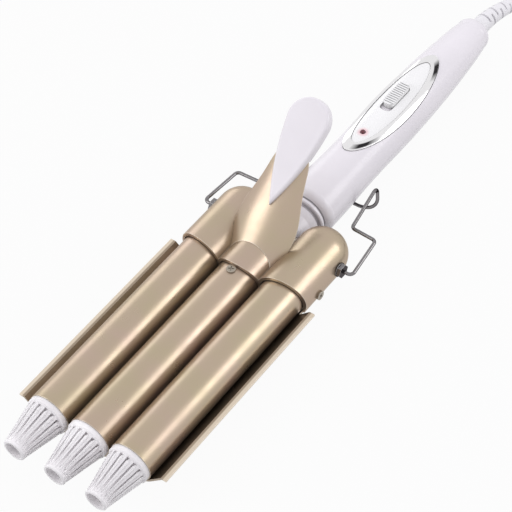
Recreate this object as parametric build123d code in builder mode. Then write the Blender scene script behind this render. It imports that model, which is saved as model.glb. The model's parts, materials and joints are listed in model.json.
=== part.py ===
"""Hair waver: three heated barrels on a jaw that lifts off a wavy plate.

Millimetres. +Z is up, +Y runs from the cool tips to the mains lead, +X is to the right as seen
from above with the tips in front. The origin is below the middle of the iron, on the surface
that it lies on.
"""

from build123d import *
from math import asin, cos, pi, radians, sin, sqrt, tan
import os

os.makedirs("parts", exist_ok=True)

# ---------------------------------------------------------------- driving dimensions
# Lengths along the iron, front to back
tip_length = 28.5
barrel_reach = 131.0  # barrel that shows ahead of the hood
hood_to_hinge = 30.5
hinge_to_handle = 27.0
handle_length = 178.0

# Heights above the surface that the iron lies on
barrel_axis_z = 23.5
handle_axis_z = 18.5

# Barrels and cool tips
barrel_diameter = 25.0
barrel_pitch = 27.0
barrel_wall = 0.9
barrel_tail = 17.5  # barrel hidden under the hood
tip_step = 0.4  # from the barrel's surface down to the collar
tip_collar_length = 3.6
tip_shoulder = 0.8
tip_nose_diameter = 13.6
tip_nose_length = 1.6
tip_nose_edge = 0.6
tip_core_root_diameter = 16.4
tip_core_nose_diameter = 13.2
tip_bore_diameter = 10.2
tip_bore_depth = 20.0
tip_spigot_length = 8.0
tip_groove_width = 1.9
tip_groove_count = 16

# Hood over the barrels' rear ends
hood_room = 0.6  # between the barrels and the hood
hood_wall = 1.9
dome_setback = 34.5  # from the hood's front edge to the centres of the rear domes
middle_lobe_length = 16.0
hood_skirt = 6.0  # how far the hood reaches below the barrel axes
front_bow_middle = 7.0  # how far the front edge stands forward on the middle lobe
front_bow_outer = 4.0
front_crest = 0.5  # how far the front edge swings back over the outer lobes
front_margin = 12.0
notch_height = 5.6  # opening between the lobes for the hinge, above the barrel axes
notch_overlap = 4.0
notch_side = 1.5  # from the ears of the barrel carrier to the sides of the opening

# Lever and thumb pad
lever_setback = 9.5  # from the hood's front edge to the lever's foot
lever_rise = 40.0  # degrees
lever_sheet = 1.3
lever_buried = 12.0
lever_stations = (0.0, 20.0, 35.0, 45.0, 57.0, 65.0)  # distances from the buried end
lever_half_widths = (18.3, 18.8, 17.2, 14.4, 12.0, 9.4)
lever_depths = (7.0, 6.5, 5.0, 3.8, 2.6, 1.4)
tongue_half_width = 7.0
tongue_length = 21.0
tongue_root = 1.0
fill_depth = 14.0
pad_start = 23.0
pad_length = 62.4
pad_half_width = 12.6
pad_shoulder = 14.4  # from the pad's widest place to its round end
pad_waist_half_width = 8.4
pad_over = 2.3
pad_under = 2.8
pad_edge_radius = 1.4

# Hinge
hinge_tube_diameter = 10.0
hinge_tube_inset = 4.0  # from the hood's side to the tube's end
hinge_bolt_shank = 5.0
hinge_shoulder_diameter = 6.0
bolt_head_flats = 7.2
bolt_head_height = 2.2
washer_diameter = 8.4
washer_thickness = 0.5
bolt_shank_length = 8.0
ear_radius = 8.5
ear_thickness = 4.0
ear_offset = 8.5  # from the outer barrel's axis inwards to the ear
spring_wire = 1.4
spring_turns = 5
spring_pitch = 1.9
spring_leg = 9.0
spring_room = 0.9

# Barrel carrier, heaters and screws in the jaw
plug_length = 31.0
carrier_plate = 2.4
carrier_half_height = 7.0
carrier_bridge_top = 4.0
lead_hole_diameter = 5.0
fuse_diameter = 3.2
fuse_length = 9.0
fuse_rise = 6.0
spreader_length = 96.0
spreader_flat = 7.0  # height of the slot that the heating stick lies in
stick_width = 15.0
screw_diameter = 3.0
screw_head_diameter = 5.4
screw_head_height = 1.2
side_screw_setback = 11.5
side_screw_drop = 2.3
barrel_screw_reach = 9.7  # ahead of the hood's front edge
side_screw_length = 8.0
side_cross_turn = 40.0
barrel_screw_length = 7.0
barrel_screw_head_height = 0.8
barrel_cross_turn = 25.0
blind_room = 2.0  # below the tip of a screw in a blind hole

# Lower plate
plate_sheet = 1.2
plate_gap = 0.9  # between the barrels and the plate
plate_ridge_start = 60.0  # degrees up from the bottom of a trough
plate_wing_start = 45.0
plate_overhang = 3.4  # how far the wings reach past the hood's sides
plate_lip = 3.3
plate_tail = 15.0
plate_tail_inset = 4.0
plate_front_setback = 1.0
plate_wing_setback = 2.0

# Plate carrier under the plate
spine_width = 23.0
spine_reach = 95.0  # ahead of the hood's front edge
tray_width = 66.0
tray_sheet = 2.0
tray_corner = 4.0
tray_drop = 16.2  # from the barrel axes to the top of the tray
tray_lead = 2.0  # how far the tray reaches ahead of the hood's front edge
spine_toe = 14.0
spine_heel = 11.0
plate_screw_places = (-80.0, -30.0, 8.0)  # behind the hood's front edge
plate_screw_seat = 3.0
carrier_screw_x = 7.0
carrier_screw_setback = 1.5  # behind the hinge
carrier_screw_seat = 3.5
carrier_screw_tip = 9.4  # below the barrel axes
cross_width = 0.7
cross_depth = 0.6
cross_share = 0.62

# Neck
neck_diameter = 23.0
neck_front = 24.0  # behind the hood's front edge
neck_flare_diameter = 25.0
neck_flare_length = 4.5
collar_ring_diameter = 27.6
collar_ring_width = 2.6
collar_groove_width = 2.3
collar_groove_depth = 1.7
collar_gap = 0.9  # between the collar ring and the handle
collar_edge = 0.6
duct_diameter = 7.0
duct_drop = 10.5  # from the barrel axes down to the duct for the leads
neck_spigot_length = 14.0
neck_pad_width = 20.0
lead_overhang = 3.0
lead_diameter = 2.2
lead_gap = 0.44

# Handle
handle_wall = 2.4
handle_nose_diameter = 27.0
handle_stations = (5.5, 16.5, 42.5, 84.0, 112.0, 135.0, 153.0, 171.0)
handle_diameters = (32.8, 32.8, 31.2, 31.8, 30.8, 28.6, 25.8, 21.4)
handle_end_diameter = 13.6
handle_end_slope = -0.2
handle_screw_seat = 6.0  # below the handle's axis
handle_screw_bite = 7.0
handle_mouth_diameter = 9.8
parting_gap = 0.05
post_diameter = 7.0
post_stations = (24.0, 140.0)
rib_stations = (48.0, 122.0)
rib_half_width = 7.0
rib_thickness = 2.0
clamp_station = 160.0
clamp_length = 7.0
clamp_width = 16.0
clamp_sheet = 1.6
clamp_screw_x = 6.4
clamp_screw_tip = 8.0
clamp_screw_diameter = 2.0
clamp_screw_head_diameter = 3.0

# Switch panel on top of the handle
panel_station = 86.0
bezel_length = 92.0
bezel_width = 25.0
panel_length = 77.0
panel_width = 17.6
panel_recess = 1.2
bezel_proud = 0.6
panel_proud = 0.15
lens_station = 57.0
lens_diameter = 3.0
lens_proud = 0.7
switch_station = 91.0
switch_length = 20.0
switch_width = 7.0
switch_height = 2.4
switch_travel = 3.0
switch_ribs = 12
switch_rib_depth = 0.6
switch_corner = 3.0
stem_length = 6.0
stem_width = 3.0
stem_depth = 5.0
board_width = 15.0
board_length = 92.0
board_thickness = 1.6
board_rise = 2.0  # top of the board above the handle's axis
switch_body_length = 22.0
switch_body_width = 8.0
switch_body_height = 8.0
led_diameter = 2.8
led_height = 5.0

# Wire stand
wire_diameter = 2.0
stand_tuck = 2.0  # wire inside the hinge tube
stand_elbow_reach = 8.2  # beyond the hood's side
stand_jog_outer_reach = 5.3
stand_jog_inner_x = 31.0
stand_bow_x = 25.7
stand_jog_reach = 27.1  # behind the hinge
stand_bow_reach = 60.5
stand_jog_skew = 0.7
stand_rise = 1.7
stand_bend_radius = 2.6
stand_corner_radius = 5.0
stand_bow_radius = 15.0

# Mains lead
cord_diameter = 6.8
relief_length = 32.0
relief_sag = (4.0, -4.0)  # how far the relief's end hangs over to the right and down
relief_root_diameter = 11.6
relief_end_diameter = 8.4
relief_slot_count = 6
relief_slot_width = 1.4
relief_first_slot = 0.16  # share of the relief's length
relief_slot_step = 0.13
relief_collar = 2.0
relief_socket = 2.2
bend_share = 0.45
relief_core_diameter = 7.6
relief_bridge = 4.4
coil_mean_diameter = 78.0
coil_turns_wide = 4
coil_entry_x = 15.0
coil_y = 309.0
cord_drop = [(7.5, 242.6, 11.0), (10.6, 257.0, 6.2), (12.2, 273.0, 3.6), (12.8, 290.0, 3.4), (13.8, 305.0, 3.4)]
plug_drop = [(109.8, 298.0, 10.3), (109.2, 286.0, 9.6), (104.4, 274.0, 7.4)]
plug_point = (101.5, 263.0)
plug_width = 35.3
plug_height = 13.7
plug_body_length = 36.0
plug_neck = 12.0
plug_lead_gap = 0.7
plug_shoulder = 13.0
plug_side = 14.0
plug_face_width = 26.0
plug_corner_radius = 1.5
pin_diameter = 4.0
pin_length = 19.0
pin_spacing = 19.0
tie_width = 9.0
tie_wall = 0.8

# Clearances
running = 0.05
slip = 0.15
clear = 0.3

# ---------------------------------------------------------------- stations worked out from them
overall_length = tip_length + barrel_reach + hood_to_hinge + hinge_to_handle + handle_length
tip_front_y = -overall_length / 2
barrel_front_y = tip_front_y + tip_length
hood_front_y = barrel_front_y + barrel_reach
hinge_y = hood_front_y + hood_to_hinge
handle_front_y = hinge_y + hinge_to_handle
handle_end_y = handle_front_y + handle_length
barrel_rear_y = hood_front_y + barrel_tail
dome_y = hood_front_y + dome_setback

barrel_radius = barrel_diameter / 2
bore_radius = barrel_radius - barrel_wall
hood_radius = barrel_radius + hood_room + hood_wall
hood_diameter = 2 * hood_radius
barrels = {"left": -barrel_pitch, "middle": 0.0, "right": barrel_pitch}
hood_side_x = barrel_pitch + hood_radius
ear_inner_x = barrel_pitch - ear_offset
hinge_axis = Axis((0, hinge_y, barrel_axis_z), (1, 0, 0))
handle_axis = Axis((0, handle_front_y, handle_axis_z), (0, 1, 0))


def across(y, x=0.0, z=barrel_axis_z):
    """Plane square to the iron: local x is +X, local y is +Z, and it faces the tips."""
    return Plane(origin=(x, y, z), x_dir=(1, 0, 0), z_dir=(0, -1, 0))


def sideways(x, y=hinge_y, z=barrel_axis_z):
    """Plane along the iron: local x is +Y, local y is +Z, and it faces +X."""
    return Plane(origin=(x, y, z), x_dir=(0, 1, 0), z_dir=(1, 0, 0))


def level(z, x=0.0, y=0.0):
    """Level plane facing up."""
    return Plane(origin=(x, y, z), x_dir=(1, 0, 0), z_dir=(0, 0, 1))


def keep(piece, name):
    """Label a finished piece and write it as a STEP file of its own."""
    piece.part.label = name
    export_step(piece.part, f"parts/{name}.step")


# ---------------------------------------------------------------- barrels
for side, x in barrels.items():
    with BuildPart() as barrel:
        with BuildSketch(across(barrel_rear_y, x)):
            Circle(barrel_radius)
            Circle(bore_radius, mode=Mode.SUBTRACT)
        extrude(amount=barrel_rear_y - barrel_front_y)
        if side == "middle":
            screw_y = hood_front_y - barrel_screw_reach
            with BuildSketch(level(barrel_axis_z, x, screw_y)):
                Circle(screw_diameter / 2 + slip)
            extrude(amount=barrel_radius + clear, mode=Mode.SUBTRACT)
        else:
            screw_y = hood_front_y + side_screw_setback
            outward = 1 if x > 0 else -1
            with BuildSketch(sideways(x, screw_y, barrel_axis_z - side_screw_drop)):
                Circle(screw_diameter / 2 + slip)
            extrude(amount=outward * (barrel_radius + clear), mode=Mode.SUBTRACT)
    keep(barrel, f"{side}_barrel")

# ---------------------------------------------------------------- cool tips
groove_length = tip_length - tip_collar_length - tip_nose_length
tip_collar_radius = barrel_radius - tip_step
tip_root_radius = tip_collar_radius - tip_shoulder
tip_nose_radius = tip_nose_diameter / 2
for side, x in barrels.items():
    tip_axis = Axis((x, barrel_front_y, barrel_axis_z), (0, -1, 0))
    tip_plane = Plane(origin=(x, barrel_front_y, barrel_axis_z), x_dir=(0, -1, 0), z_dir=(-1, 0, 0))
    with BuildPart() as cool_tip:
        with BuildSketch(tip_plane):
            with BuildLine():
                Polyline(
                    (-tip_spigot_length, 0),
                    (-tip_spigot_length, bore_radius - running),
                    (0, bore_radius - running),
                    (0, tip_collar_radius),
                    (tip_collar_length - tip_shoulder, tip_collar_radius),
                    (tip_collar_length, tip_root_radius),
                    (tip_length - tip_nose_length, tip_nose_radius),
                    (tip_length - tip_nose_edge, tip_nose_radius),
                    (tip_length, tip_nose_radius - tip_nose_edge),
                    (tip_length, 0),
                    close=True,
                )
            make_face()
        revolve(axis=tip_axis)
        with BuildSketch(across(barrel_front_y - tip_collar_length, x)):
            with PolarLocations(tip_root_radius, tip_groove_count, start_angle=90 / tip_groove_count):
                Rectangle(2 * tip_root_radius, tip_groove_width)
            Circle(tip_core_nose_diameter / 2, mode=Mode.SUBTRACT)
        extrude(amount=groove_length, mode=Mode.SUBTRACT)
        with BuildSketch(tip_plane):
            with BuildLine():
                Polyline(
                    (tip_collar_length, 0),
                    (tip_collar_length, tip_core_root_diameter / 2),
                    (tip_length - tip_nose_length, tip_core_nose_diameter / 2),
                    (tip_length - tip_nose_length, 0),
                    close=True,
                )
            make_face()
        revolve(axis=tip_axis)
        with BuildSketch(across(tip_front_y + tip_bore_depth, x)):
            Circle(tip_bore_diameter / 2)
        extrude(amount=tip_bore_depth, mode=Mode.SUBTRACT)
    keep(cool_tip, f"{side}_cool_tip")


# ---------------------------------------------------------------- hood
def lobes(radius, front, middle_length):
    """Three round lobes over the barrels; the outer two end in domes."""
    corner = radius * cos(radians(45))
    with BuildPart() as solid:
        for x in (-barrel_pitch, barrel_pitch):
            with BuildSketch(sideways(x, dome_y)):
                with BuildLine():
                    Line((radius, 0), (front - dome_y, 0))
                    Line((front - dome_y, 0), (front - dome_y, -radius))
                    Line((front - dome_y, -radius), (0, -radius))
                    ThreePointArc((0, -radius), (corner, -corner), (radius, 0))
                make_face()
            revolve(axis=Axis((x, dome_y, barrel_axis_z), (0, 1, 0)))
        with BuildSketch(across(hood_front_y + middle_length)):
            Circle(radius)
        extrude(amount=hood_front_y + middle_length - front)
    return solid.part


hollow_length = middle_lobe_length + clear
outer_lobes = lobes(hood_radius, hood_front_y - front_margin, middle_lobe_length)
inner_lobes = lobes(hood_radius - hood_wall, hood_front_y - front_margin - clear, hollow_length)
valley_x = barrel_pitch / 2
notch_front_y = hood_front_y + middle_lobe_length - notch_overlap
notch_length = hood_to_hinge + ear_radius
notch_half_width = ear_inner_x - notch_side

with BuildPart() as hood_hollow:
    add(inner_lobes)
    # the underside is open below the skirt
    with Locations((0, hood_front_y, barrel_axis_z - hood_skirt)):
        Box(
            4 * barrel_pitch,
            4 * dome_setback,
            hood_diameter,
            align=(Align.CENTER, Align.CENTER, Align.MAX),
        )
    # room between the lobes for the hinge tube and the barrel carrier
    with Locations((0, notch_front_y, barrel_axis_z + notch_height)):
        Box(
            2 * notch_half_width,
            notch_length,
            hood_diameter,
            align=(Align.CENTER, Align.MIN, Align.MAX),
        )

    # the lobes run into each other below the barrel axes too
    with Locations((0, hood_front_y, barrel_axis_z)):
        Box(
            2 * barrel_pitch,
            2 * hollow_length,
            hood_diameter,
            align=(Align.CENTER, Align.CENTER, Align.MAX),
        )

with BuildPart() as hood:
    add(outer_lobes)
    add(hood_hollow.part, mode=Mode.SUBTRACT)
    # the front edge bows forward over each lobe
    with BuildSketch(level(barrel_axis_z - hood_diameter)):
        with BuildLine():
            inner_corner_y = hood_front_y - front_bow_outer
            middle_y = hood_front_y - front_bow_middle
            ThreePointArc((-valley_x, inner_corner_y), (0, middle_y), (valley_x, inner_corner_y))
            for sign in (-1, 1):
                ThreePointArc(
                    (sign * valley_x, inner_corner_y),
                    (sign * barrel_pitch, inner_corner_y + front_crest),
                    (sign * (hood_side_x + clear), hood_front_y),
                )
                Line(
                    (sign * (hood_side_x + clear), hood_front_y),
                    (sign * (hood_side_x + clear), hood_front_y - 2 * front_margin),
                )
            Line(
                (-hood_side_x - clear, hood_front_y - 2 * front_margin),
                (hood_side_x + clear, hood_front_y - 2 * front_margin),
            )
        make_face()
    extrude(amount=2 * hood_diameter, mode=Mode.SUBTRACT)
    # hinge bolt and side screw holes through the outer walls
    for sign in (-1, 1):
        with BuildSketch(sideways(sign * barrel_pitch)):
            Circle(hinge_shoulder_diameter / 2 + running)
        extrude(amount=sign * hood_diameter, mode=Mode.SUBTRACT)
        side_screw_y = hood_front_y + side_screw_setback
        with BuildSketch(sideways(sign * barrel_pitch, side_screw_y, barrel_axis_z - side_screw_drop)):
            Circle(screw_diameter / 2 + slip)
        extrude(amount=sign * hood_diameter, mode=Mode.SUBTRACT)
keep(hood, "hood")

# ---------------------------------------------------------------- lever
lever_foot = Vector(0, hood_front_y + lever_setback, barrel_axis_z + hood_radius)
lever_run = Vector(0, cos(radians(lever_rise)), sin(radians(lever_rise)))
lever_up = Vector(0, -sin(radians(lever_rise)), cos(radians(lever_rise)))
lever_start = -lever_buried
tongue_start = lever_start + lever_stations[-1]


def lever_section(s):
    """Plane square to the lever at distance s up from its foot: local y points into the trough."""
    return Plane(origin=lever_foot + lever_run * s, x_dir=(1, 0, 0), z_dir=lever_run)


def arch(half_width, depth, sheet):
    """Cross-section of the lever: a shallow arch of even thickness."""
    outer = (half_width**2 + depth**2) / (2 * depth)
    spread = asin(half_width / outer)
    inner = outer - sheet
    inner_x = inner * sin(spread)
    inner_y = outer - inner * cos(spread)
    with BuildSketch() as outline:
        with BuildLine():
            ThreePointArc((-half_width, depth), (0, 0), (half_width, depth))
            Line((half_width, depth), (inner_x, inner_y))
            ThreePointArc((inner_x, inner_y), (0, sheet), (-inner_x, inner_y))
            Line((-inner_x, inner_y), (-half_width, depth))
        make_face()
    return outline.sketch


def arch_fill(half_width, depth):
    """The lever's cross-section filled from its outer arch down."""
    with BuildSketch() as outline:
        with BuildLine():
            ThreePointArc((-half_width, depth), (0, 0), (half_width, depth))
            Line((half_width, depth), (half_width, fill_depth))
            Line((half_width, fill_depth), (-half_width, fill_depth))
            Line((-half_width, fill_depth), (-half_width, depth))
        make_face()
    return outline.sketch


lever_sizes = list(zip(lever_half_widths, lever_depths))
fills = [arch_fill(half_width, depth) for half_width, depth in lever_sizes]
arches = [arch(half_width, depth, lever_sheet) for half_width, depth in lever_sizes]

with BuildPart() as lever_filled:
    for station, outline in zip(lever_stations, fills):
        with BuildSketch(lever_section(lever_start + station)):
            add(outline)
    loft()

with BuildPart() as lever:
    for station, outline in zip(lever_stations, arches):
        with BuildSketch(lever_section(lever_start + station)):
            add(outline)
    loft()
    add(outer_lobes, mode=Mode.SUBTRACT)
    # tongue that the thumb pad is moulded on
    with BuildSketch(lever_section(tongue_start - tongue_root)):
        with Locations((0, lever_sheet / 2 + running)):
            Rectangle(2 * tongue_half_width, lever_sheet)
    extrude(amount=tongue_length + tongue_root)
keep(lever, "lever")

# ---------------------------------------------------------------- thumb pad
pad_plane = Plane(origin=lever_foot, x_dir=lever_run, z_dir=lever_up)
pad_end = pad_start + pad_length
pad_wide_at = pad_end - pad_shoulder
with BuildPart() as thumb_pad:
    with BuildSketch(pad_plane.offset(-pad_under)):
        with BuildLine():
            for sign in (-1, 1):
                ThreePointArc(
                    (pad_start, 0),
                    ((pad_start + pad_wide_at) / 2, sign * pad_waist_half_width),
                    (pad_wide_at, sign * pad_half_width),
                )
            ThreePointArc((pad_wide_at, -pad_half_width), (pad_end, 0), (pad_wide_at, pad_half_width))
        make_face()
    extrude(amount=pad_over + pad_under)
    top_edges = thumb_pad.faces().sort_by(Axis(lever_foot, lever_up))[-1].edges()
    fillet(top_edges, radius=pad_edge_radius)
    # ahead of the tongue the pad lies on the lever's outer face only
    with BuildSketch(pad_plane.offset(-lever_depths[-1])):
        with Locations((tongue_start / 2, 0)):
            Rectangle(tongue_start, 4 * pad_half_width)
    extrude(amount=-2 * pad_under, mode=Mode.SUBTRACT)
    add(lever_filled.part, mode=Mode.SUBTRACT)
    add(lever.part, mode=Mode.SUBTRACT)
keep(thumb_pad, "thumb_pad")

# ---------------------------------------------------------------- barrel carrier
plug_radius = bore_radius - running
plug_front_y = barrel_rear_y - plug_length
carrier_rear_y = barrel_rear_y + carrier_plate
carrier_half_width = barrel_pitch + carrier_half_height
with BuildPart() as barrel_carrier:
    for x in barrels.values():
        with BuildSketch(across(barrel_rear_y, x)):
            Circle(plug_radius)
        extrude(amount=plug_length)
    with BuildSketch(across(carrier_rear_y)):
        for sign in (-1, 1):
            with Locations((sign * barrel_pitch, 0)):
                Circle(barrel_radius - clear)
        with Locations((0, (carrier_bridge_top - carrier_half_height) / 2)):
            Rectangle(2 * barrel_pitch, carrier_bridge_top + carrier_half_height)
    extrude(amount=carrier_plate)
    for sign in (-1, 1):
        start_x = sign * ear_inner_x
        with BuildSketch(sideways(start_x)):
            Circle(ear_radius)
            with Locations(((carrier_rear_y - hinge_y) / 2 - carrier_plate / 4, 0)):
                Rectangle(hinge_y - carrier_rear_y + carrier_plate / 2, 2 * carrier_half_height)
        extrude(amount=sign * ear_thickness)
        with BuildSketch(sideways(start_x - sign * clear)):
            Circle(hinge_tube_diameter / 2 + running)
        extrude(amount=sign * (ear_thickness + 2 * clear), mode=Mode.SUBTRACT)
    for x in barrels.values():
        with BuildSketch(across(carrier_rear_y + clear, x)):
            Circle(lead_hole_diameter / 2)
        extrude(amount=plug_length + carrier_plate + 2 * clear, mode=Mode.SUBTRACT)
    # blind holes for the side screws and the barrel screw
    for sign in (-1, 1):
        side_hole_x = hood_side_x - side_screw_length - blind_room
        with BuildSketch(sideways(sign * side_hole_x, side_screw_y, barrel_axis_z - side_screw_drop)):
            Circle(screw_diameter / 2 + running)
        extrude(amount=sign * barrel_radius, mode=Mode.SUBTRACT)
    barrel_hole_z = barrel_axis_z + barrel_radius - barrel_screw_length - blind_room
    with BuildSketch(level(barrel_hole_z, 0, hood_front_y - barrel_screw_reach)):
        Circle(screw_diameter / 2 + running)
    extrude(amount=barrel_radius, mode=Mode.SUBTRACT)
keep(barrel_carrier, "barrel_carrier")

# ---------------------------------------------------------------- heaters
spreader_rear_y = plug_front_y - clear
spreader_front_y = spreader_rear_y - spreader_length
for side, x in barrels.items():
    with BuildPart() as spreader:
        with BuildSketch(across(spreader_rear_y, x)):
            Circle(bore_radius - running)
            Rectangle(stick_width, spreader_flat, mode=Mode.SUBTRACT)
        extrude(amount=spreader_length)
    keep(spreader, f"{side}_heat_spreader")
    with BuildPart() as stick:
        with BuildSketch(across(spreader_rear_y, x)):
            Rectangle(stick_width - 2 * running, spreader_flat - 2 * running)
        extrude(amount=spreader_length)
    keep(stick, f"{side}_heating_stick")

# ---------------------------------------------------------------- screws in the jaw
cross_length = cross_share * screw_head_diameter
side_screw_z = barrel_axis_z - side_screw_drop
with BuildPart() as side_screws:
    for sign in (-1, 1):
        with BuildSketch(sideways(sign * hood_side_x, side_screw_y, side_screw_z)):
            Circle(screw_head_diameter / 2)
        extrude(amount=sign * screw_head_height)
        with BuildSketch(sideways(sign * hood_side_x, side_screw_y, side_screw_z)):
            Circle(screw_diameter / 2)
        extrude(amount=-sign * side_screw_length)
        cross_x = hood_side_x + screw_head_height - cross_depth
        with BuildSketch(sideways(sign * cross_x, side_screw_y, side_screw_z)):
            Rectangle(cross_width, cross_length, rotation=side_cross_turn)
            Rectangle(cross_length, cross_width, rotation=side_cross_turn)
        extrude(amount=sign * screw_head_height, mode=Mode.SUBTRACT)
keep(side_screws, "side_screws")

barrel_screw_y = hood_front_y - barrel_screw_reach
screw_seat_z = barrel_axis_z + barrel_radius
with BuildPart() as barrel_screw:
    with BuildSketch(level(screw_seat_z, 0, barrel_screw_y)):
        Circle(screw_head_diameter / 2)
    extrude(amount=barrel_screw_head_height)
    with BuildSketch(level(screw_seat_z, 0, barrel_screw_y)):
        Circle(screw_diameter / 2)
    extrude(amount=-barrel_screw_length)
    with BuildSketch(level(screw_seat_z + barrel_screw_head_height - cross_depth, 0, barrel_screw_y)):
        Rectangle(cross_width, cross_length, rotation=barrel_cross_turn)
        Rectangle(cross_length, cross_width, rotation=barrel_cross_turn)
    extrude(amount=screw_head_height, mode=Mode.SUBTRACT)
keep(barrel_screw, "barrel_screw")

# ---------------------------------------------------------------- hinge
tube_end_x = hood_side_x - hinge_tube_inset
hinge_tube_length = 2 * tube_end_x
hinge_shoulder_length = hinge_tube_inset + washer_thickness + 2 * running
stand_end_x = tube_end_x - stand_tuck
bolt_head_x = tube_end_x + hinge_shoulder_length
bolt_face_x = bolt_head_x + bolt_head_height

with BuildPart() as hinge_tube:
    with BuildSketch(sideways(-tube_end_x)):
        Circle(hinge_tube_diameter / 2)
        Circle(hinge_bolt_shank / 2 + running, mode=Mode.SUBTRACT)
    extrude(amount=hinge_tube_length)
keep(hinge_tube, "hinge_tube")

with BuildPart() as hinge_bolts:
    for sign in (-1, 1):
        with BuildSketch(sideways(sign * bolt_head_x)):
            RegularPolygon(bolt_head_flats / 2, 6, major_radius=False)
        extrude(amount=sign * bolt_head_height)
        with BuildSketch(sideways(sign * bolt_head_x)):
            Circle(hinge_shoulder_diameter / 2)
        extrude(amount=-sign * hinge_shoulder_length)
        with BuildSketch(sideways(sign * tube_end_x)):
            Circle(hinge_bolt_shank / 2)
        extrude(amount=-sign * bolt_shank_length)
        with BuildSketch(sideways(sign * bolt_face_x)):
            Circle(wire_diameter / 2 + running)
        extrude(amount=-sign * (bolt_face_x - stand_end_x + clear), mode=Mode.SUBTRACT)
keep(hinge_bolts, "hinge_bolts")

with BuildPart() as hinge_washers:
    for sign in (-1, 1):
        with BuildSketch(sideways(sign * (hood_side_x + running))):
            Circle(washer_diameter / 2)
            Circle(hinge_shoulder_diameter / 2 + running, mode=Mode.SUBTRACT)
        extrude(amount=sign * washer_thickness)
keep(hinge_washers, "hinge_washers")

spring_radius = hinge_tube_diameter / 2 + spring_room + spring_wire / 2
spring_start_x = ear_inner_x + ear_thickness + clear + spring_wire
with BuildPart() as torsion_springs:
    for sign in (-1, 1):
        with BuildLine() as coil:
            Helix(
                pitch=spring_pitch,
                height=spring_turns * spring_pitch,
                radius=spring_radius,
                center=(sign * spring_start_x, hinge_y, barrel_axis_z),
                direction=(sign, 0, 0),
            )
        with BuildSketch(Plane(origin=coil.line @ 0, z_dir=coil.line % 0)):
            Circle(spring_wire / 2)
        sweep(path=coil.line, is_frenet=True)
        with BuildSketch(Plane(origin=coil.line @ 0, z_dir=coil.line % 0)):
            Circle(spring_wire / 2)
        extrude(amount=-spring_leg)
        with BuildSketch(Plane(origin=coil.line @ 1, z_dir=coil.line % 1)):
            Circle(spring_wire / 2)
        extrude(amount=spring_leg)
keep(torsion_springs, "torsion_springs")

# ---------------------------------------------------------------- lower plate
trough_radius = barrel_radius + plate_gap
ridge_angle = radians(plate_ridge_start)
wing_angle = radians(plate_wing_start)
ridge_radius = valley_x / sin(ridge_angle) - trough_radius
ridge_drop = (trough_radius + ridge_radius) * cos(ridge_angle)
wing_foot_x = barrel_pitch + trough_radius * sin(wing_angle)
plate_bend_x = hood_side_x + plate_overhang
lip_z = (plate_bend_x - wing_foot_x) * tan(wing_angle) - trough_radius * cos(wing_angle)
plate_front_y = barrel_front_y + plate_front_setback
plate_rear_y = hood_front_y + plate_tail
wing_rear_y = hood_front_y - plate_wing_setback
plate_half_width = plate_bend_x + plate_lip
plate_tail_half_width = hood_side_x - plate_tail_inset


def turn(x, z, radius, angle):
    """Point on a circle about (x, z), the angle measured from straight down towards +X."""
    return (x + radius * sin(angle), z - radius * cos(angle))


with BuildPart() as lower_plate:
    with BuildSketch(across(plate_rear_y)):
        with BuildLine():
            for depth in (0.0, plate_sheet):
                trough = trough_radius + depth
                ridge = ridge_radius - depth
                wing_x, wing_z = turn(barrel_pitch, 0, trough, wing_angle)
                bend_x = wing_x + (lip_z - depth - wing_z) / tan(wing_angle)
                ThreePointArc(
                    turn(0, 0, trough, -ridge_angle),
                    (0, -trough),
                    turn(0, 0, trough, ridge_angle),
                )
                for sign in (-1, 1):
                    ThreePointArc(
                        turn(0, 0, trough, sign * ridge_angle),
                        (sign * valley_x, ridge - ridge_drop),
                        turn(sign * barrel_pitch, 0, trough, -sign * ridge_angle),
                    )
                    ThreePointArc(
                        turn(sign * barrel_pitch, 0, trough, -sign * ridge_angle),
                        (sign * barrel_pitch, -trough),
                        turn(sign * barrel_pitch, 0, trough, sign * wing_angle),
                    )
                    Line((sign * wing_x, wing_z), (sign * bend_x, lip_z - depth))
                    Line((sign * bend_x, lip_z - depth), (sign * plate_half_width, lip_z - depth))
            for sign in (-1, 1):
                Line(
                    (sign * plate_half_width, lip_z),
                    (sign * plate_half_width, lip_z - plate_sheet),
                )
        make_face()
    extrude(amount=plate_rear_y - plate_front_y)
    # the tail under the hood is narrower
    for sign in (-1, 1):
        with Locations((sign * plate_tail_half_width, wing_rear_y, barrel_axis_z)):
            Box(
                barrel_pitch,
                2 * plate_tail,
                2 * barrel_diameter,
                align=(Align.MIN if sign > 0 else Align.MAX, Align.MIN, Align.CENTER),
                mode=Mode.SUBTRACT,
            )
    for screw_place in plate_screw_places:
        with BuildSketch(level(0, 0, hood_front_y + screw_place)):
            Circle(screw_diameter / 2 + running)
        extrude(amount=barrel_axis_z, mode=Mode.SUBTRACT)
keep(lower_plate, "lower_plate")

# ---------------------------------------------------------------- plate carrier
saddle_radius = trough_radius + plate_sheet + running
saddle_edge = sqrt(saddle_radius**2 - (spine_width / 2) ** 2)
neck_front_y = hood_front_y + neck_front
neck_flare_y = handle_front_y - collar_gap - collar_ring_width - collar_groove_width - neck_flare_length
tray_front_y = hood_front_y - tray_lead
tray_rear_y = neck_flare_y - clear
tray_top_z = barrel_axis_z - tray_drop
tray_bottom_z = tray_top_z - tray_sheet
spine_front_y = hood_front_y - spine_reach
spine_heel_y = tray_rear_y - spine_heel
carrier_screw_y = hinge_y + carrier_screw_setback

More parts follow.
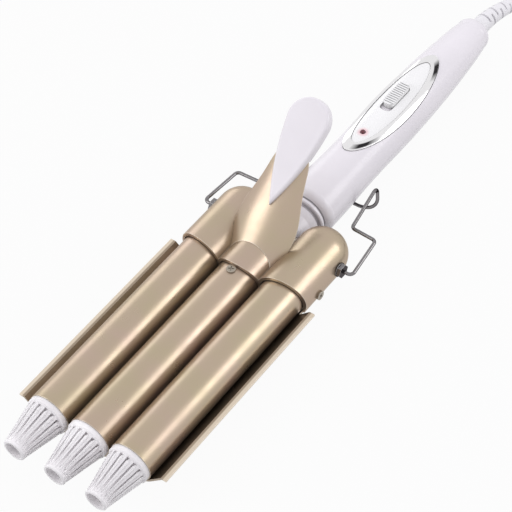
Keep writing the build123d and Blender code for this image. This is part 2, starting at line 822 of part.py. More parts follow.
with BuildPart() as plate_carrier:
    with BuildSketch(sideways(-spine_width / 2, 0, 0)):
        with BuildLine():
            Polyline(
                (spine_front_y, barrel_axis_z - saddle_edge),
                (spine_front_y, tray_bottom_z - clear),
                (spine_front_y + spine_toe, 0),
                (spine_heel_y, 0),
                (tray_rear_y, tray_bottom_z),
                (tray_rear_y, tray_top_z),
                (neck_front_y - clear, tray_top_z),
                (neck_front_y - clear, barrel_axis_z - saddle_edge),
                close=True,
            )
        make_face()
    extrude(amount=spine_width)
    with BuildSketch(across(neck_front_y)):
        Circle(saddle_radius)
    extrude(amount=neck_front_y - spine_front_y + clear, mode=Mode.SUBTRACT)
    with BuildSketch(level(tray_top_z)):
        with Locations((0, (tray_front_y + tray_rear_y) / 2)):
            RectangleRounded(tray_width, tray_rear_y - tray_front_y, tray_corner)
    extrude(amount=-tray_sheet)
    for screw_place in plate_screw_places:
        with BuildSketch(level(0, 0, hood_front_y + screw_place)):
            Circle(screw_head_diameter / 2 + clear)
        extrude(amount=plate_screw_seat, mode=Mode.SUBTRACT)
        with BuildSketch(level(0, 0, hood_front_y + screw_place)):
            Circle(screw_diameter / 2 + slip)
        extrude(amount=barrel_axis_z, mode=Mode.SUBTRACT)
    for sign in (-1, 1):
        with BuildSketch(level(0, sign * carrier_screw_x, carrier_screw_y)):
            Circle(screw_head_diameter / 2 + clear)
        extrude(amount=carrier_screw_seat, mode=Mode.SUBTRACT)
        with BuildSketch(level(0, sign * carrier_screw_x, carrier_screw_y)):
            Circle(screw_diameter / 2 + slip)
        extrude(amount=tray_top_z + clear, mode=Mode.SUBTRACT)
keep(plate_carrier, "plate_carrier")


# ---------------------------------------------------------------- screws that stand upright
def upright_screws(places, seat_z, tip_z, diameter, head_diameter):
    """Cross-head screws at (x, y) places, from the seat below their heads to their tips."""
    towards = 1 if tip_z > seat_z else -1
    with BuildPart() as group:
        for x, y in places:
            with BuildSketch(level(seat_z, x, y)):
                Circle(head_diameter / 2)
            extrude(amount=-towards * screw_head_height)
            with BuildSketch(level(seat_z, x, y)):
                Circle(diameter / 2)
            extrude(amount=tip_z - seat_z)
            with BuildSketch(level(seat_z - towards * (screw_head_height - cross_depth), x, y)):
                Rectangle(cross_width, head_diameter * cross_share)
                Rectangle(head_diameter * cross_share, cross_width)
            extrude(amount=-towards * screw_head_height, mode=Mode.SUBTRACT)
    return group


plate_tip_z = barrel_axis_z - trough_radius - slip
neck_tip_z = barrel_axis_z - carrier_screw_tip
plate_places = [(0, hood_front_y + place) for place in plate_screw_places]
carrier_places = [(-carrier_screw_x, carrier_screw_y), (carrier_screw_x, carrier_screw_y)]
keep(
    upright_screws(plate_places, plate_screw_seat, plate_tip_z, screw_diameter, screw_head_diameter),
    "plate_screws",
)
keep(
    upright_screws(carrier_places, carrier_screw_seat, neck_tip_z, screw_diameter, screw_head_diameter),
    "carrier_screws",
)

# ---------------------------------------------------------------- neck
handle_mouth_radius = neck_flare_diameter / 2 + slip
spigot_radius = handle_diameters[0] / 2 - handle_wall - slip
ring_front_y = handle_front_y - collar_gap - collar_ring_width
ring_rear_y = handle_front_y - collar_gap
spigot_front_y = handle_front_y + handle_stations[0] + clear
spigot_rear_y = spigot_front_y + neck_spigot_length
groove_radius = neck_flare_diameter / 2 - collar_groove_depth
ring_radius = collar_ring_diameter / 2
duct_z = barrel_axis_z - duct_drop

with BuildPart() as neck_frame:
    with BuildSketch(sideways(0, 0, handle_axis_z)):
        with BuildLine():
            Polyline(
                (neck_front_y, 0),
                (neck_front_y, neck_diameter / 2 - collar_edge),
                (neck_front_y + collar_edge, neck_diameter / 2),
                (neck_flare_y, neck_diameter / 2),
                (neck_flare_y + neck_flare_length, neck_flare_diameter / 2),
                (neck_flare_y + neck_flare_length, groove_radius),
                (ring_front_y, groove_radius),
                (ring_front_y, ring_radius - collar_edge),
                (ring_front_y + collar_edge, ring_radius),
                (ring_rear_y - collar_edge, ring_radius),
                (ring_rear_y, ring_radius - collar_edge),
                (ring_rear_y, neck_flare_diameter / 2),
                (spigot_front_y, neck_flare_diameter / 2),
                (spigot_front_y, spigot_radius),
                (spigot_rear_y, spigot_radius),
                (spigot_rear_y, 0),
                close=True,
            )
        make_face()
    revolve(axis=handle_axis)
    with Locations((0, neck_front_y, tray_top_z)):
        Box(
            neck_pad_width,
            neck_flare_y - neck_front_y,
            tray_drop - duct_drop + duct_diameter / 2,
            align=(Align.CENTER, Align.MIN, Align.MIN),
        )
    with Locations((0, neck_front_y, tray_top_z)):
        Box(
            neck_diameter,
            neck_flare_y - neck_front_y,
            neck_diameter,
            align=(Align.CENTER, Align.MIN, Align.MAX),
            mode=Mode.SUBTRACT,
        )
    # room for the leads: a duct right through, wider inside the handle
    with BuildSketch(across(spigot_rear_y, 0, duct_z)):
        Circle(duct_diameter / 2)
    extrude(amount=spigot_rear_y - neck_front_y, mode=Mode.SUBTRACT)
    with BuildSketch(across(spigot_rear_y, 0, handle_axis_z)):
        Circle(spigot_radius - handle_wall)
    extrude(amount=neck_spigot_length, mode=Mode.SUBTRACT)
    with BuildSketch(sideways(-neck_diameter)):
        Circle(hinge_tube_diameter / 2 + running)
    extrude(amount=2 * neck_diameter, mode=Mode.SUBTRACT)
    for sign in (-1, 1):
        with BuildSketch(level(tray_top_z, sign * carrier_screw_x, carrier_screw_y)):
            Circle(screw_diameter / 2 + running)
        extrude(amount=neck_tip_z - tray_top_z + clear, mode=Mode.SUBTRACT)
keep(neck_frame, "neck_frame")


# ---------------------------------------------------------------- handle
def handle_body(inset):
    """The handle's outer form, smaller all round by the inset."""
    radii = [diameter / 2 - inset for diameter in handle_diameters]
    waist = [(station, radius) for station, radius in zip(handle_stations, radii)]
    nose_radius = handle_nose_diameter / 2 - inset
    nose_reach = handle_stations[0] - inset
    end_radius = handle_end_diameter / 2 - inset
    end_reach = handle_length - inset - handle_stations[-1]
    corner = sin(radians(45))
    with BuildPart() as body:
        with BuildSketch(sideways(0, handle_front_y, handle_axis_z)):
            with BuildLine():
                Line((inset, 0), (inset, nose_radius))
                ThreePointArc(
                    (inset, nose_radius),
                    (handle_stations[0] - nose_reach * corner, nose_radius + (radii[0] - nose_radius) * corner),
                    waist[0],
                )
                Spline(*waist, tangents=[(1, 0), (1, handle_end_slope)])
                ThreePointArc(
                    waist[-1],
                    (handle_stations[-1] + end_reach * corner, end_radius + (radii[-1] - end_radius) * corner),
                    (handle_length - inset, end_radius),
                )
                Line((handle_length - inset, end_radius), (handle_length - inset, 0))
                Line((handle_length - inset, 0), (inset, 0))
            make_face()
        revolve(axis=handle_axis)
    return body.part


def top_ellipse(length, width, hole_length=0.0, hole_width=0.0):
    """Upright column over the handle's axis with an elliptical outline and hole."""
    with BuildPart() as column:
        with BuildSketch(level(handle_axis_z, 0, handle_front_y + panel_station)):
            Ellipse(width / 2, length / 2)
            if hole_length > 0:
                Ellipse(hole_width / 2, hole_length / 2, mode=Mode.SUBTRACT)
        extrude(amount=handle_diameters[0])
    return column.part


handle_outer = handle_body(0)
handle_inner = handle_body(handle_wall)
pocket_floor = handle_body(panel_recess)
pocket_column = top_ellipse(bezel_length + 2 * slip, bezel_width + 2 * slip)
crest_z = handle_axis_z + handle_diameters[3] / 2
slot_floor_z = crest_z - panel_recess
switch_y = handle_front_y + switch_station
slot_y = switch_y - switch_travel / 2
lens_y = handle_front_y + lens_station
board_top_z = handle_axis_z + board_rise
knob_bottom_z = slot_floor_z + clear
stem_bottom_z = knob_bottom_z - stem_depth

with BuildPart() as pocket:
    add(pocket_column)
    add(pocket_floor, mode=Mode.SUBTRACT)

with BuildPart() as posts:
    for station in post_stations:
        with BuildSketch(across(handle_front_y + station, 0, handle_axis_z)):
            Rectangle(post_diameter, 2 * handle_diameters[0])
        extrude(amount=post_diameter / 2, both=True)
    add(pocket_floor, mode=Mode.INTERSECT)

with BuildPart() as ribs:
    for station in rib_stations:
        with BuildSketch(across(handle_front_y + station, 0, board_top_z - board_thickness - running)):
            Rectangle(2 * rib_half_width, handle_diameters[0], align=(Align.CENTER, Align.MAX))
        extrude(amount=rib_thickness)
    with BuildSketch(across(handle_front_y + clamp_station, 0, handle_axis_z - cord_diameter / 2 - running)):
        Rectangle(clamp_width, handle_diameters[0], align=(Align.CENTER, Align.MAX))
    extrude(amount=clamp_length / 2, both=True)
    add(pocket_floor, mode=Mode.INTERSECT)

halves = {"upper": 1, "lower": -1}
for name, side in halves.items():
    with BuildPart() as shell:
        add(handle_outer)
        add(handle_inner, mode=Mode.SUBTRACT)
        add(posts.part)
        if side < 0:
            add(ribs.part)
        with Locations((0, handle_front_y - clear, handle_axis_z + side * parting_gap / 2)):
            Box(
                2 * handle_diameters[0],
                handle_length + 2 * clear,
                2 * handle_diameters[0],
                align=(Align.CENTER, Align.MIN, Align.MAX if side > 0 else Align.MIN),
                mode=Mode.SUBTRACT,
            )
        with BuildSketch(across(handle_front_y + 2 * handle_wall, 0, handle_axis_z)):
            Circle(handle_mouth_radius)
        extrude(amount=4 * handle_wall, mode=Mode.SUBTRACT)
        with BuildSketch(across(handle_end_y + handle_wall, 0, handle_axis_z)):
            Circle(handle_mouth_diameter / 2)
        extrude(amount=4 * handle_wall, mode=Mode.SUBTRACT)
        for station in post_stations:
            post_y = handle_front_y + station
            if side > 0:
                with BuildSketch(level(handle_axis_z, 0, post_y)):
                    Circle(screw_diameter / 2 + running)
                extrude(amount=handle_screw_bite + clear, mode=Mode.SUBTRACT)
            else:
                with BuildSketch(level(handle_axis_z, 0, post_y)):
                    Circle(screw_diameter / 2 + slip)
                extrude(amount=-handle_diameters[0], mode=Mode.SUBTRACT)
                with BuildSketch(level(handle_axis_z - handle_screw_seat, 0, post_y)):
                    Circle(screw_head_diameter / 2 + clear)
                extrude(amount=-handle_diameters[0], mode=Mode.SUBTRACT)
        if side > 0:
            add(pocket.part, mode=Mode.SUBTRACT)
            with BuildSketch(level(handle_axis_z, 0, lens_y)):
                Circle(lens_diameter / 2 + slip)
            extrude(amount=handle_diameters[0], mode=Mode.SUBTRACT)
            with BuildSketch(level(handle_axis_z, 0, slot_y)):
                Rectangle(stem_width + 2 * clear, stem_length + switch_travel + 2 * clear)
            extrude(amount=handle_diameters[0], mode=Mode.SUBTRACT)
        else:
            for sign in (-1, 1):
                with BuildSketch(level(handle_axis_z, sign * clamp_screw_x, handle_front_y + clamp_station)):
                    Circle(clamp_screw_diameter / 2 + running)
                extrude(amount=-clamp_screw_tip - clear, mode=Mode.SUBTRACT)
    keep(shell, f"handle_{name}_shell")

handle_places = [(0, handle_front_y + station) for station in post_stations]
keep(
    upright_screws(
        handle_places,
        handle_axis_z - handle_screw_seat,
        handle_axis_z + handle_screw_bite,
        screw_diameter,
        screw_head_diameter,
    ),
    "handle_screws",
)

# ---------------------------------------------------------------- switch panel
bezel_column = top_ellipse(bezel_length, bezel_width, panel_length + 2 * slip, panel_width + 2 * slip)
bezel_skin = handle_body(-bezel_proud)
panel_skin = handle_body(-panel_proud)
panel_floor = handle_body(panel_recess - running)
panel_column = top_ellipse(panel_length, panel_width)

with BuildPart() as bezel:
    add(bezel_column)
    add(bezel_skin, mode=Mode.INTERSECT)
    add(panel_floor, mode=Mode.SUBTRACT)
keep(bezel, "bezel")

with BuildPart() as switch_panel:
    add(panel_column)
    add(panel_skin, mode=Mode.INTERSECT)
    add(panel_floor, mode=Mode.SUBTRACT)
    with BuildSketch(level(handle_axis_z, 0, lens_y)):
        Circle(lens_diameter / 2 + slip)
    extrude(amount=handle_diameters[0], mode=Mode.SUBTRACT)
    with BuildSketch(level(handle_axis_z, 0, slot_y)):
        RectangleRounded(switch_width + 2 * clear, switch_length + switch_travel + 2 * clear, switch_corner)
    extrude(amount=handle_diameters[0], mode=Mode.SUBTRACT)
keep(switch_panel, "switch_panel")

with BuildPart() as pilot_lens:
    with BuildSketch(level(board_top_z + led_height + clear, 0, lens_y)):
        Circle(lens_diameter / 2)
    extrude(amount=crest_z + lens_proud - board_top_z - led_height - clear)
    fillet(pilot_lens.faces().sort_by(Axis.Z)[-1].edges(), radius=lens_diameter / 4)
keep(pilot_lens, "pilot_lens")

with BuildPart() as pilot_led:
    with BuildSketch(level(board_top_z, 0, lens_y)):
        Circle(led_diameter / 2)
    extrude(amount=led_height)
    fillet(pilot_led.faces().sort_by(Axis.Z)[-1].edges(), radius=led_diameter / 4)
keep(pilot_led, "pilot_led")

rib_pitch = switch_length / switch_ribs
with BuildPart() as switch_slider:
    with BuildSketch(level(knob_bottom_z, 0, switch_y)):
        RectangleRounded(switch_width, switch_length, switch_corner)
    extrude(amount=crest_z + panel_proud + switch_height - knob_bottom_z)
    with BuildSketch(level(crest_z + panel_proud + switch_height - switch_rib_depth, 0, switch_y)):
        with GridLocations(0, rib_pitch, 1, switch_ribs - 1):
            Rectangle(switch_width, rib_pitch / 2)
    extrude(amount=switch_height, mode=Mode.SUBTRACT)
    with BuildSketch(level(knob_bottom_z, 0, switch_y)):
        Rectangle(stem_width, stem_length)
    extrude(amount=-stem_depth)
keep(switch_slider, "switch_slider")

with BuildPart() as switch_body:
    with BuildSketch(level(board_top_z, 0, slot_y)):
        Rectangle(switch_body_width, switch_body_length)
    extrude(amount=switch_body_height)
    with BuildSketch(level(stem_bottom_z - clear, 0, slot_y)):
        Rectangle(stem_width + 2 * clear, stem_length + switch_travel + 2 * clear)
    extrude(amount=switch_body_height, mode=Mode.SUBTRACT)
keep(switch_body, "switch_body")

board_y = handle_front_y + panel_station
with BuildPart() as circuit_board:
    with BuildSketch(level(board_top_z, 0, board_y)):
        Rectangle(board_width, board_length)
    extrude(amount=-board_thickness)
keep(circuit_board, "circuit_board")

# ---------------------------------------------------------------- leads and cord clamp
lead_start_y = handle_front_y + clamp_station - clamp_length
board_rear_y = board_y + board_length / 2
board_front_y = board_y - board_length / 2
post_pass_x = post_diameter / 2 + lead_diameter
duct_lead_x = (lead_diameter + lead_gap) / 2


def lead_route(points):
    """Centre line of a lead that leaves and arrives along the handle."""
    with BuildLine() as route:
        Spline(*points, tangents=[(0, -1, 0), (0, -1, 0)])
    return route


mains_routes = [
    lead_route(
        [
            (sign * duct_lead_x, lead_start_y, handle_axis_z),
            (sign * post_pass_x, handle_front_y + post_stations[1] + post_diameter, handle_axis_z),
            (sign * post_pass_x, board_rear_y + clear, handle_axis_z),
        ]
    )
    for sign in (-1, 1)
]
heater_routes = [
    lead_route(
        [
            (sign * post_pass_x, board_front_y - clear, handle_axis_z),
            (sign * post_pass_x, handle_front_y + post_stations[0], handle_axis_z - lead_diameter),
            (sign * duct_lead_x, spigot_front_y, duct_z),
            (sign * duct_lead_x, neck_front_y - lead_overhang, duct_z),
        ]
    )
    for sign in (-1, 1)
]

with BuildPart() as mains_leads:
    with BuildSketch(across(handle_end_y - 2 * handle_wall, 0, handle_axis_z)):
        Circle(cord_diameter / 2)
    extrude(amount=handle_end_y - 2 * handle_wall - lead_start_y)
    for route in mains_routes:
        with BuildSketch(Plane(origin=route.line @ 0, z_dir=route.line % 0)):
            Circle(lead_diameter / 2)
        sweep(path=route.line)
keep(mains_leads, "mains_leads")

with BuildPart() as heater_leads:
    for route in heater_routes:
        with BuildSketch(Plane(origin=route.line @ 0, z_dir=route.line % 0)):
            Circle(lead_diameter / 2)
        sweep(path=route.line)
keep(heater_leads, "heater_leads")

with BuildPart() as cord_clamp:
    with BuildSketch(across(handle_front_y + clamp_station, 0, handle_axis_z)):
        Circle(cord_diameter / 2 + clamp_sheet)
        with Locations((0, -cord_diameter / 2)):
            Rectangle(clamp_width, clamp_sheet, align=(Align.CENTER, Align.MIN))
        with Locations((0, -cord_diameter / 2)):
            Rectangle(2 * clamp_width, clamp_width, align=(Align.CENTER, Align.MAX), mode=Mode.SUBTRACT)
        Circle(cord_diameter / 2 + running, mode=Mode.SUBTRACT)
    extrude(amount=clamp_length / 2, both=True)
    for sign in (-1, 1):
        with BuildSketch(level(0, sign * clamp_screw_x, handle_front_y + clamp_station)):
            Circle(clamp_screw_diameter / 2 + slip)
        extrude(amount=2 * handle_axis_z, mode=Mode.SUBTRACT)
keep(cord_clamp, "cord_clamp")

clamp_y = handle_front_y + clamp_station
clamp_seat_z = handle_axis_z - cord_diameter / 2 + clamp_sheet + running
keep(
    upright_screws(
        [(-clamp_screw_x, clamp_y), (clamp_screw_x, clamp_y)],
        clamp_seat_z,
        handle_axis_z - clamp_screw_tip,
        clamp_screw_diameter,
        clamp_screw_head_diameter,
    ),
    "clamp_screws",
)

# ---------------------------------------------------------------- thermal fuse
fuse_y = carrier_rear_y + fuse_diameter / 2 + running
with BuildPart() as thermal_fuse:
    with BuildSketch(sideways(barrel_pitch - fuse_length / 2, fuse_y, barrel_axis_z + fuse_rise)):
        Circle(fuse_diameter / 2)
    extrude(amount=fuse_length)
keep(thermal_fuse, "thermal_fuse")

# ---------------------------------------------------------------- wire stand
jog_y = hinge_y + stand_jog_reach
bow_y = hinge_y + stand_bow_reach
jog_z = barrel_axis_z + stand_rise / 2
bow_z = barrel_axis_z + stand_rise
bow_bottom_z = wire_diameter / 2
half_stand = [
    (stand_end_x, hinge_y, barrel_axis_z),
    (hood_side_x + stand_elbow_reach, hinge_y, barrel_axis_z),
    (hood_side_x + stand_jog_outer_reach, jog_y, jog_z),
    (stand_jog_inner_x, jog_y + stand_jog_skew, jog_z),
    (stand_bow_x, bow_y, bow_z),
    (stand_bow_x, bow_y, bow_bottom_z),
]
other_half = [(-x, y, z) for x, y, z in reversed(half_stand)]
half_radii = [
    stand_bend_radius,
    stand_bend_radius,
    stand_bend_radius,
    stand_corner_radius,
    stand_bow_radius,
]
with BuildLine() as stand_route:
    FilletPolyline(*half_stand, *other_half, radius=half_radii + half_radii[::-1])
with BuildPart() as wire_stand:
    with BuildSketch(Plane(origin=stand_route.line @ 0, z_dir=stand_route.line % 0)):
        Circle(wire_diameter / 2)
    sweep(path=stand_route.line)
keep(wire_stand, "wire_stand")


# ---------------------------------------------------------------- mains lead
def corner_radii(points):
    """The largest gentle bend that each corner of a route has room for."""
    radii = []
    for before, here, after in zip(points, points[1:], points[2:]):
        run_in = Vector(*here) - Vector(*before)
        run_out = Vector(*after) - Vector(*here)
        half_turn = radians(run_in.get_angle(run_out)) / 2
        radii.append(bend_share * min(run_in.length, run_out.length) / tan(half_turn))
    return radii


def cord_tube(points, name):
    """Round cord along a route of points."""
    radii = corner_radii(points)
    with BuildLine() as route:
        FilletPolyline(*points, radius=radii)
    with BuildPart() as tube:
        with BuildSketch(Plane(origin=route.line @ 0, z_dir=route.line % 0)):
            Circle(cord_diameter / 2)
        sweep(path=route.line)
    section = pi * cord_diameter**2 / 4
    rounded = [round(radius, 1) for radius in radii]
    print(name, "radii", rounded, "length", round(route.wire().length, 1))
    print(name, "volume over section", round(tube.part.volume / section, 1))
    keep(tube, name)


lead_z = cord_diameter / 2
relief_root_y = handle_end_y - 2 * handle_wall + running
relief_start_y = handle_end_y + relief_collar
relief_end = (relief_sag[0], relief_start_y + relief_length, handle_axis_z + relief_sag[1])
with BuildLine() as relief_line:
    Bezier(
        (0, relief_start_y, handle_axis_z),
        (0, relief_start_y + relief_length / 2, handle_axis_z),
        relief_end,
    )


def along_relief(share):
    """Plane square to the strain relief at a share of its bent length, facing its end."""
    return Plane(origin=relief_line.line @ share, x_dir=(1, 0, 0), z_dir=relief_line.line % share)


with BuildPart() as strain_relief:
    with BuildSketch(sideways(0, 0, handle_axis_z)):
        with BuildLine():
            Polyline(
                (relief_root_y, 0),
                (relief_root_y, handle_mouth_diameter / 2 - running),
                (handle_end_y + running, handle_mouth_diameter / 2 - running),
                (handle_end_y + running, relief_root_diameter / 2),
                (relief_start_y, relief_root_diameter / 2),
                (relief_start_y, 0),
                close=True,
            )
        make_face()
    revolve(axis=handle_axis)
    with BuildSketch(along_relief(0)):
        Circle(relief_root_diameter / 2)
    with BuildSketch(along_relief(1)):
        Circle(relief_end_diameter / 2)
    sweep(path=relief_line.line, multisection=True)
    for index in range(relief_slot_count):
        share = relief_first_slot + index * relief_slot_step
        bridge_turn = 90 * (index % 2)
        with BuildSketch(along_relief(share)):
            Circle(relief_root_diameter)
            Circle(relief_core_diameter / 2, mode=Mode.SUBTRACT)
            Rectangle(3 * relief_root_diameter, relief_bridge, rotation=bridge_turn, mode=Mode.SUBTRACT)
        extrude(amount=relief_slot_width, mode=Mode.SUBTRACT)
    with BuildSketch(along_relief(1)):
        Circle(cord_diameter / 2 + running)
    extrude(amount=-relief_socket, mode=Mode.SUBTRACT)
keep(strain_relief, "strain_relief")

coil_width = coil_turns_wide * cord_diameter
coil_height = cord_diameter * (1 + sin(radians(60)))  # the upper turns nest in the lower ones
coil_side_x = coil_mean_diameter / 2
coil_x = coil_entry_x + coil_side_x + (coil_width - cord_diameter) / 2
cord_start = Vector(*relief_end) - (relief_line.line % 1) * (relief_socket - running)
cord_points = [(cord_start.X, cord_start.Y, cord_start.Z), *cord_drop]
cord_tube(cord_points, "power_cord")
plug_points = [*plug_drop, (*plug_point, plug_height / 2)]
cord_tube(plug_points, "plug_lead")

with BuildPart() as cord_coil:
    with BuildSketch(Plane(origin=(coil_x, coil_y, 0), x_dir=(1, 0, 0), z_dir=(0, -1, 0))):
        with Locations((coil_side_x, coil_height / 2)):
            RectangleRounded(coil_width, coil_height, lead_z)
    revolve(axis=Axis((coil_x, coil_y, 0), (0, 0, 1)))
keep(cord_coil, "cord_coil")

with BuildPart() as cord_tie:
    with BuildSketch(sideways(coil_x - tie_width / 2, coil_y + coil_side_x, 0)):
        with Locations((0, (coil_height + tie_wall) / 2)):
            RectangleRounded(coil_width + 2 * tie_wall, coil_height + tie_wall, 2 * tie_wall)
            RectangleRounded(coil_width, coil_height - tie_wall, tie_wall, mode=Mode.SUBTRACT)
    extrude(amount=tie_width)
keep(cord_tie, "cord_tie")

plug_x, plug_lead_y, plug_z = plug_points[-1]
plug_rear_y = plug_lead_y - plug_lead_gap
plug_face_y = plug_rear_y - plug_body_length
with BuildPart() as plug_body:
    with BuildSketch(level(0, plug_x, plug_rear_y)):
        with BuildLine():
            for sign in (-1, 1):
                Polyline(
                    (0, 0),
                    (sign * plug_neck / 2, 0),
                    (sign * plug_width / 2, -plug_shoulder),
                    (sign * plug_width / 2, -plug_shoulder - plug_side),
                    (sign * plug_face_width / 2, -plug_body_length),
                    (0, -plug_body_length),
                )
        make_face()
    extrude(amount=plug_height)
    fillet(plug_body.edges().filter_by(Axis.Z), radius=plug_corner_radius)
keep(plug_body, "plug_body")

with BuildPart() as plug_pins:
    for sign in (-1, 1):
        with BuildSketch(across(plug_face_y, plug_x + sign * pin_spacing / 2, plug_z)):
            Circle(pin_diameter / 2)
        extrude(amount=pin_length)
    fillet(plug_pins.edges().sort_by(Axis.Y)[:2], radius=pin_diameter / 5)
keep(plug_pins, "plug_pins")
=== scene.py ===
"""Hair waver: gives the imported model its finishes, its mains lead and its rounded tip ribs."""

import json
from math import cos, pi, radians, sin

import bmesh
import bpy
from bpy.props import FloatProperty, FloatVectorProperty, IntProperty, PointerProperty
from bpy.types import Operator, Panel, PropertyGroup
from mathutils import Matrix, Vector


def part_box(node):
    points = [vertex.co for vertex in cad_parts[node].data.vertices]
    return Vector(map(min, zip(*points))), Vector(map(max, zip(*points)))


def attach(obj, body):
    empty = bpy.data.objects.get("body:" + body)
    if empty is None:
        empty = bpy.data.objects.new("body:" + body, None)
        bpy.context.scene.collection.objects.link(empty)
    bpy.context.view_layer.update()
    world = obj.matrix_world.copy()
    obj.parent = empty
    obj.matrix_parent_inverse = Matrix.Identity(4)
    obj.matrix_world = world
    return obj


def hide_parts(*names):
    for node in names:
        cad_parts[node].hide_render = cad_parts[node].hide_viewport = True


bl_info = {
    "name": "Hair Waver",
    "version": (1, 0, 0),
    "blender": (4, 5, 0),
    "location": "3D View > Sidebar > Waver",
    "description": "Builds the finishes and the soft and repeated pieces of a three barrel hair waver",
    "category": "Add Mesh",
}

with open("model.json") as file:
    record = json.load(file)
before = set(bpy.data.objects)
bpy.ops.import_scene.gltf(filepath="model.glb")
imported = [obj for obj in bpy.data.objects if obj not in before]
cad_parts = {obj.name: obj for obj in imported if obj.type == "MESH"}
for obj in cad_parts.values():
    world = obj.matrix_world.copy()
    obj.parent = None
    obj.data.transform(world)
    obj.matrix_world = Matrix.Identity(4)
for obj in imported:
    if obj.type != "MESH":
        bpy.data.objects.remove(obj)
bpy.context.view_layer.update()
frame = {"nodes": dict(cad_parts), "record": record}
nodes = frame["nodes"]
MM = 0.001

# Camera and stage
SENSOR_WIDTH = 36
NEAREST, FARTHEST = 0.05, 20
LAMP_AIM = (0, 0, 0.02)
LAMPS = (  # name, place, diameter, power in watts
    ("side_lamp", (0.91, 0.59, 0.51), 0.62, 3.0),
    ("left_lamp", (-1.15, 0.62, 0.26), 0.8, 1.8),
    ("front_lamp", (-0.95, -0.88, 0.74), 0.9, 5.6),
)
WHITE = (1, 1, 1)
ROOM_TINT = (0.97, 0.96, 1.0)
ROOM_LOW, ROOM_HIGH = 0.3, 0.98  # strength of the room's light below and above
ROOM_RISE = (-0.05, 0.75)  # heights on the unit sphere between which it grows
FLOOR_HALF_SIDE = 4
FLOOR_DROP = 0.05 * MM
FLOOR_GREY = (0.5, 0.5, 0.5)
FLOOR_ROUGHNESS = 0.9
FLOOR_GLOW = 0.95  # share of plain white where the floor is seen

# Finishes; the scales are in features per metre
CLOUD_SCALE, CLOUD_DETAIL = 38, 4
SMEAR_SCALE, SMEAR_DETAIL, SMEAR_ROUGHNESS = 95, 5, 0.6
GRAIN_DETAIL = 2
GRAIN_HEIGHT = 0.05 * MM
# the second count is for the mask of the worn and painted-highlight edges
EDGE_SAMPLES, WEAR_AND_HIGHLIGHT_SAMPLES, CREVICE_SAMPLES = 6, 4, 8
SHARP_TURN = (0.86, 0.985)  # cosines between which an edge counts as sharp
WEAR_AND_HIGHLIGHT_REACH = 1.6  # width of the worn and painted-highlight edge over the radius of the rounded one
OPEN_SKY = (0.15, 0.8)  # how open a crevice and a free surface are
MILKY_DEPTH = 2.5 * MM  # how far light goes into a milky plastic
MIX_FACTOR, MIX_FIRST, MIX_SECOND, MIX_RESULT = 0, 6, 7, 2  # colour sockets of a Mix node

# Coloured zones: a painted highlight on the plate's lips, a painted glow round the pilot lens and
# painted dark reflections on the ring
LIP_START, LIP_FULL = 2.3 * MM, 1.7 * MM  # in from the plate's outer edge: where the painted highlight on the lips begins and where it is full
LIP_HIGHLIGHT_COLOUR = (0.72, 0.62, 0.50)
GLOW_DEPTH = 1 * MM
GLOW_SHARE = 0.7
GLOW_REACH = (1.5 * MM, 3.9 * MM)
GLOW_COLOUR = (0.90, 0.42, 0.47)
# softness and colour of the painted dark reflections on the plated ring
REFLECTION_BAND_SOFT = 0.02
REFLECTION_BAND_COLOUR = (0.03, 0.028, 0.03)
RING_REFLECTION_BANDS = (  # painted dark reflections: turn from and to in degrees, its softness, inner and outer share of the ring
    (4, 54, 0.30, 0.87, 0.985),
    (130, 168, 0.22, 0.89, 1.02),
)

# Mains lead, in millimetres: from the strain relief to the coil, and from the coil to the plug
LEAD_DROP = (
    (3.5, 229.6, 15.0),
    (7.5, 242.6, 11.0),
    (10.6, 257.0, 6.2),
    (12.2, 273.0, 3.6),
    (12.8, 290.0, 3.4),
    (13.8, 305.0, 3.4),
)
LEAD_TO_PLUG = ((109.8, 298, 10.3), (109.2, 286, 9.6), (104.4, 274, 7.4), (101.5, 263, 6.85))
LEAD_CURVE_ORDER = 3
COIL_START_X, COIL_Y = 15 * MM, 309 * MM
COIL_CORNERS = 12
COIL_TURNS = 6.5
COIL_CHANGE = 4  # corners over which a turn passes to the next
COIL_CLIMB = {  # last corners of the floor's turns: step out, height
    9: (-1.2 * MM, 6.4 * MM),
    10: (0, 9.3 * MM),
}
COIL_LAST_STEP = 1.7 * MM

# Crowns of the tip ribs
RIB_STEPS, RIB_SIDES = 12, 14
RIB_END_WIDTH = 0.35  # share of the width left at a rib's ends
RIB_END_RISE = 9.0


# ---------------------------------------------------------------------------
# Settings
# ---------------------------------------------------------------------------
class WaverColours(PropertyGroup):
    champagne: FloatVectorProperty(
        name="Champagne metal",
        description="Colour of the barrels, the hood, the lever and the plate",
        subtype="COLOR",
        size=3,
        min=0,
        max=1,
        default=(0.465, 0.37, 0.275),
    )
    shell_white: FloatVectorProperty(
        name="White shell",
        description="Colour of the handle, the neck and the thumb pad",
        subtype="COLOR",
        size=3,
        min=0,
        max=1,
        default=(0.83, 0.80, 0.835),
    )
    tip_white: FloatVectorProperty(
        name="Cool tips",
        description="Colour of the heat-proof tips",
        subtype="COLOR",
        size=3,
        min=0,
        max=1,
        default=(0.90, 0.875, 0.885),
    )
    lens_red: FloatVectorProperty(
        name="Pilot lens",
        description="Colour of the pilot light's lens",
        subtype="COLOR",
        size=3,
        min=0,
        max=1,
        default=(0.10, 0.0, 0.012),
    )


class WaverSizes(PropertyGroup):
    cord_diameter: FloatProperty(
        name="Lead diameter",
        description="Thickness of the mains lead",
        default=6.8 * MM,
        min=4 * MM,
        max=10 * MM,
        unit="LENGTH",
    )
    coil_diameter: FloatProperty(
        name="Coil diameter",
        description="Across the coil at the middle of its turns",
        default=78 * MM,
        min=50 * MM,
        max=120 * MM,
        unit="LENGTH",
    )


def settings():
    return bpy.context.scene.waver_colours, bpy.context.scene.waver_sizes


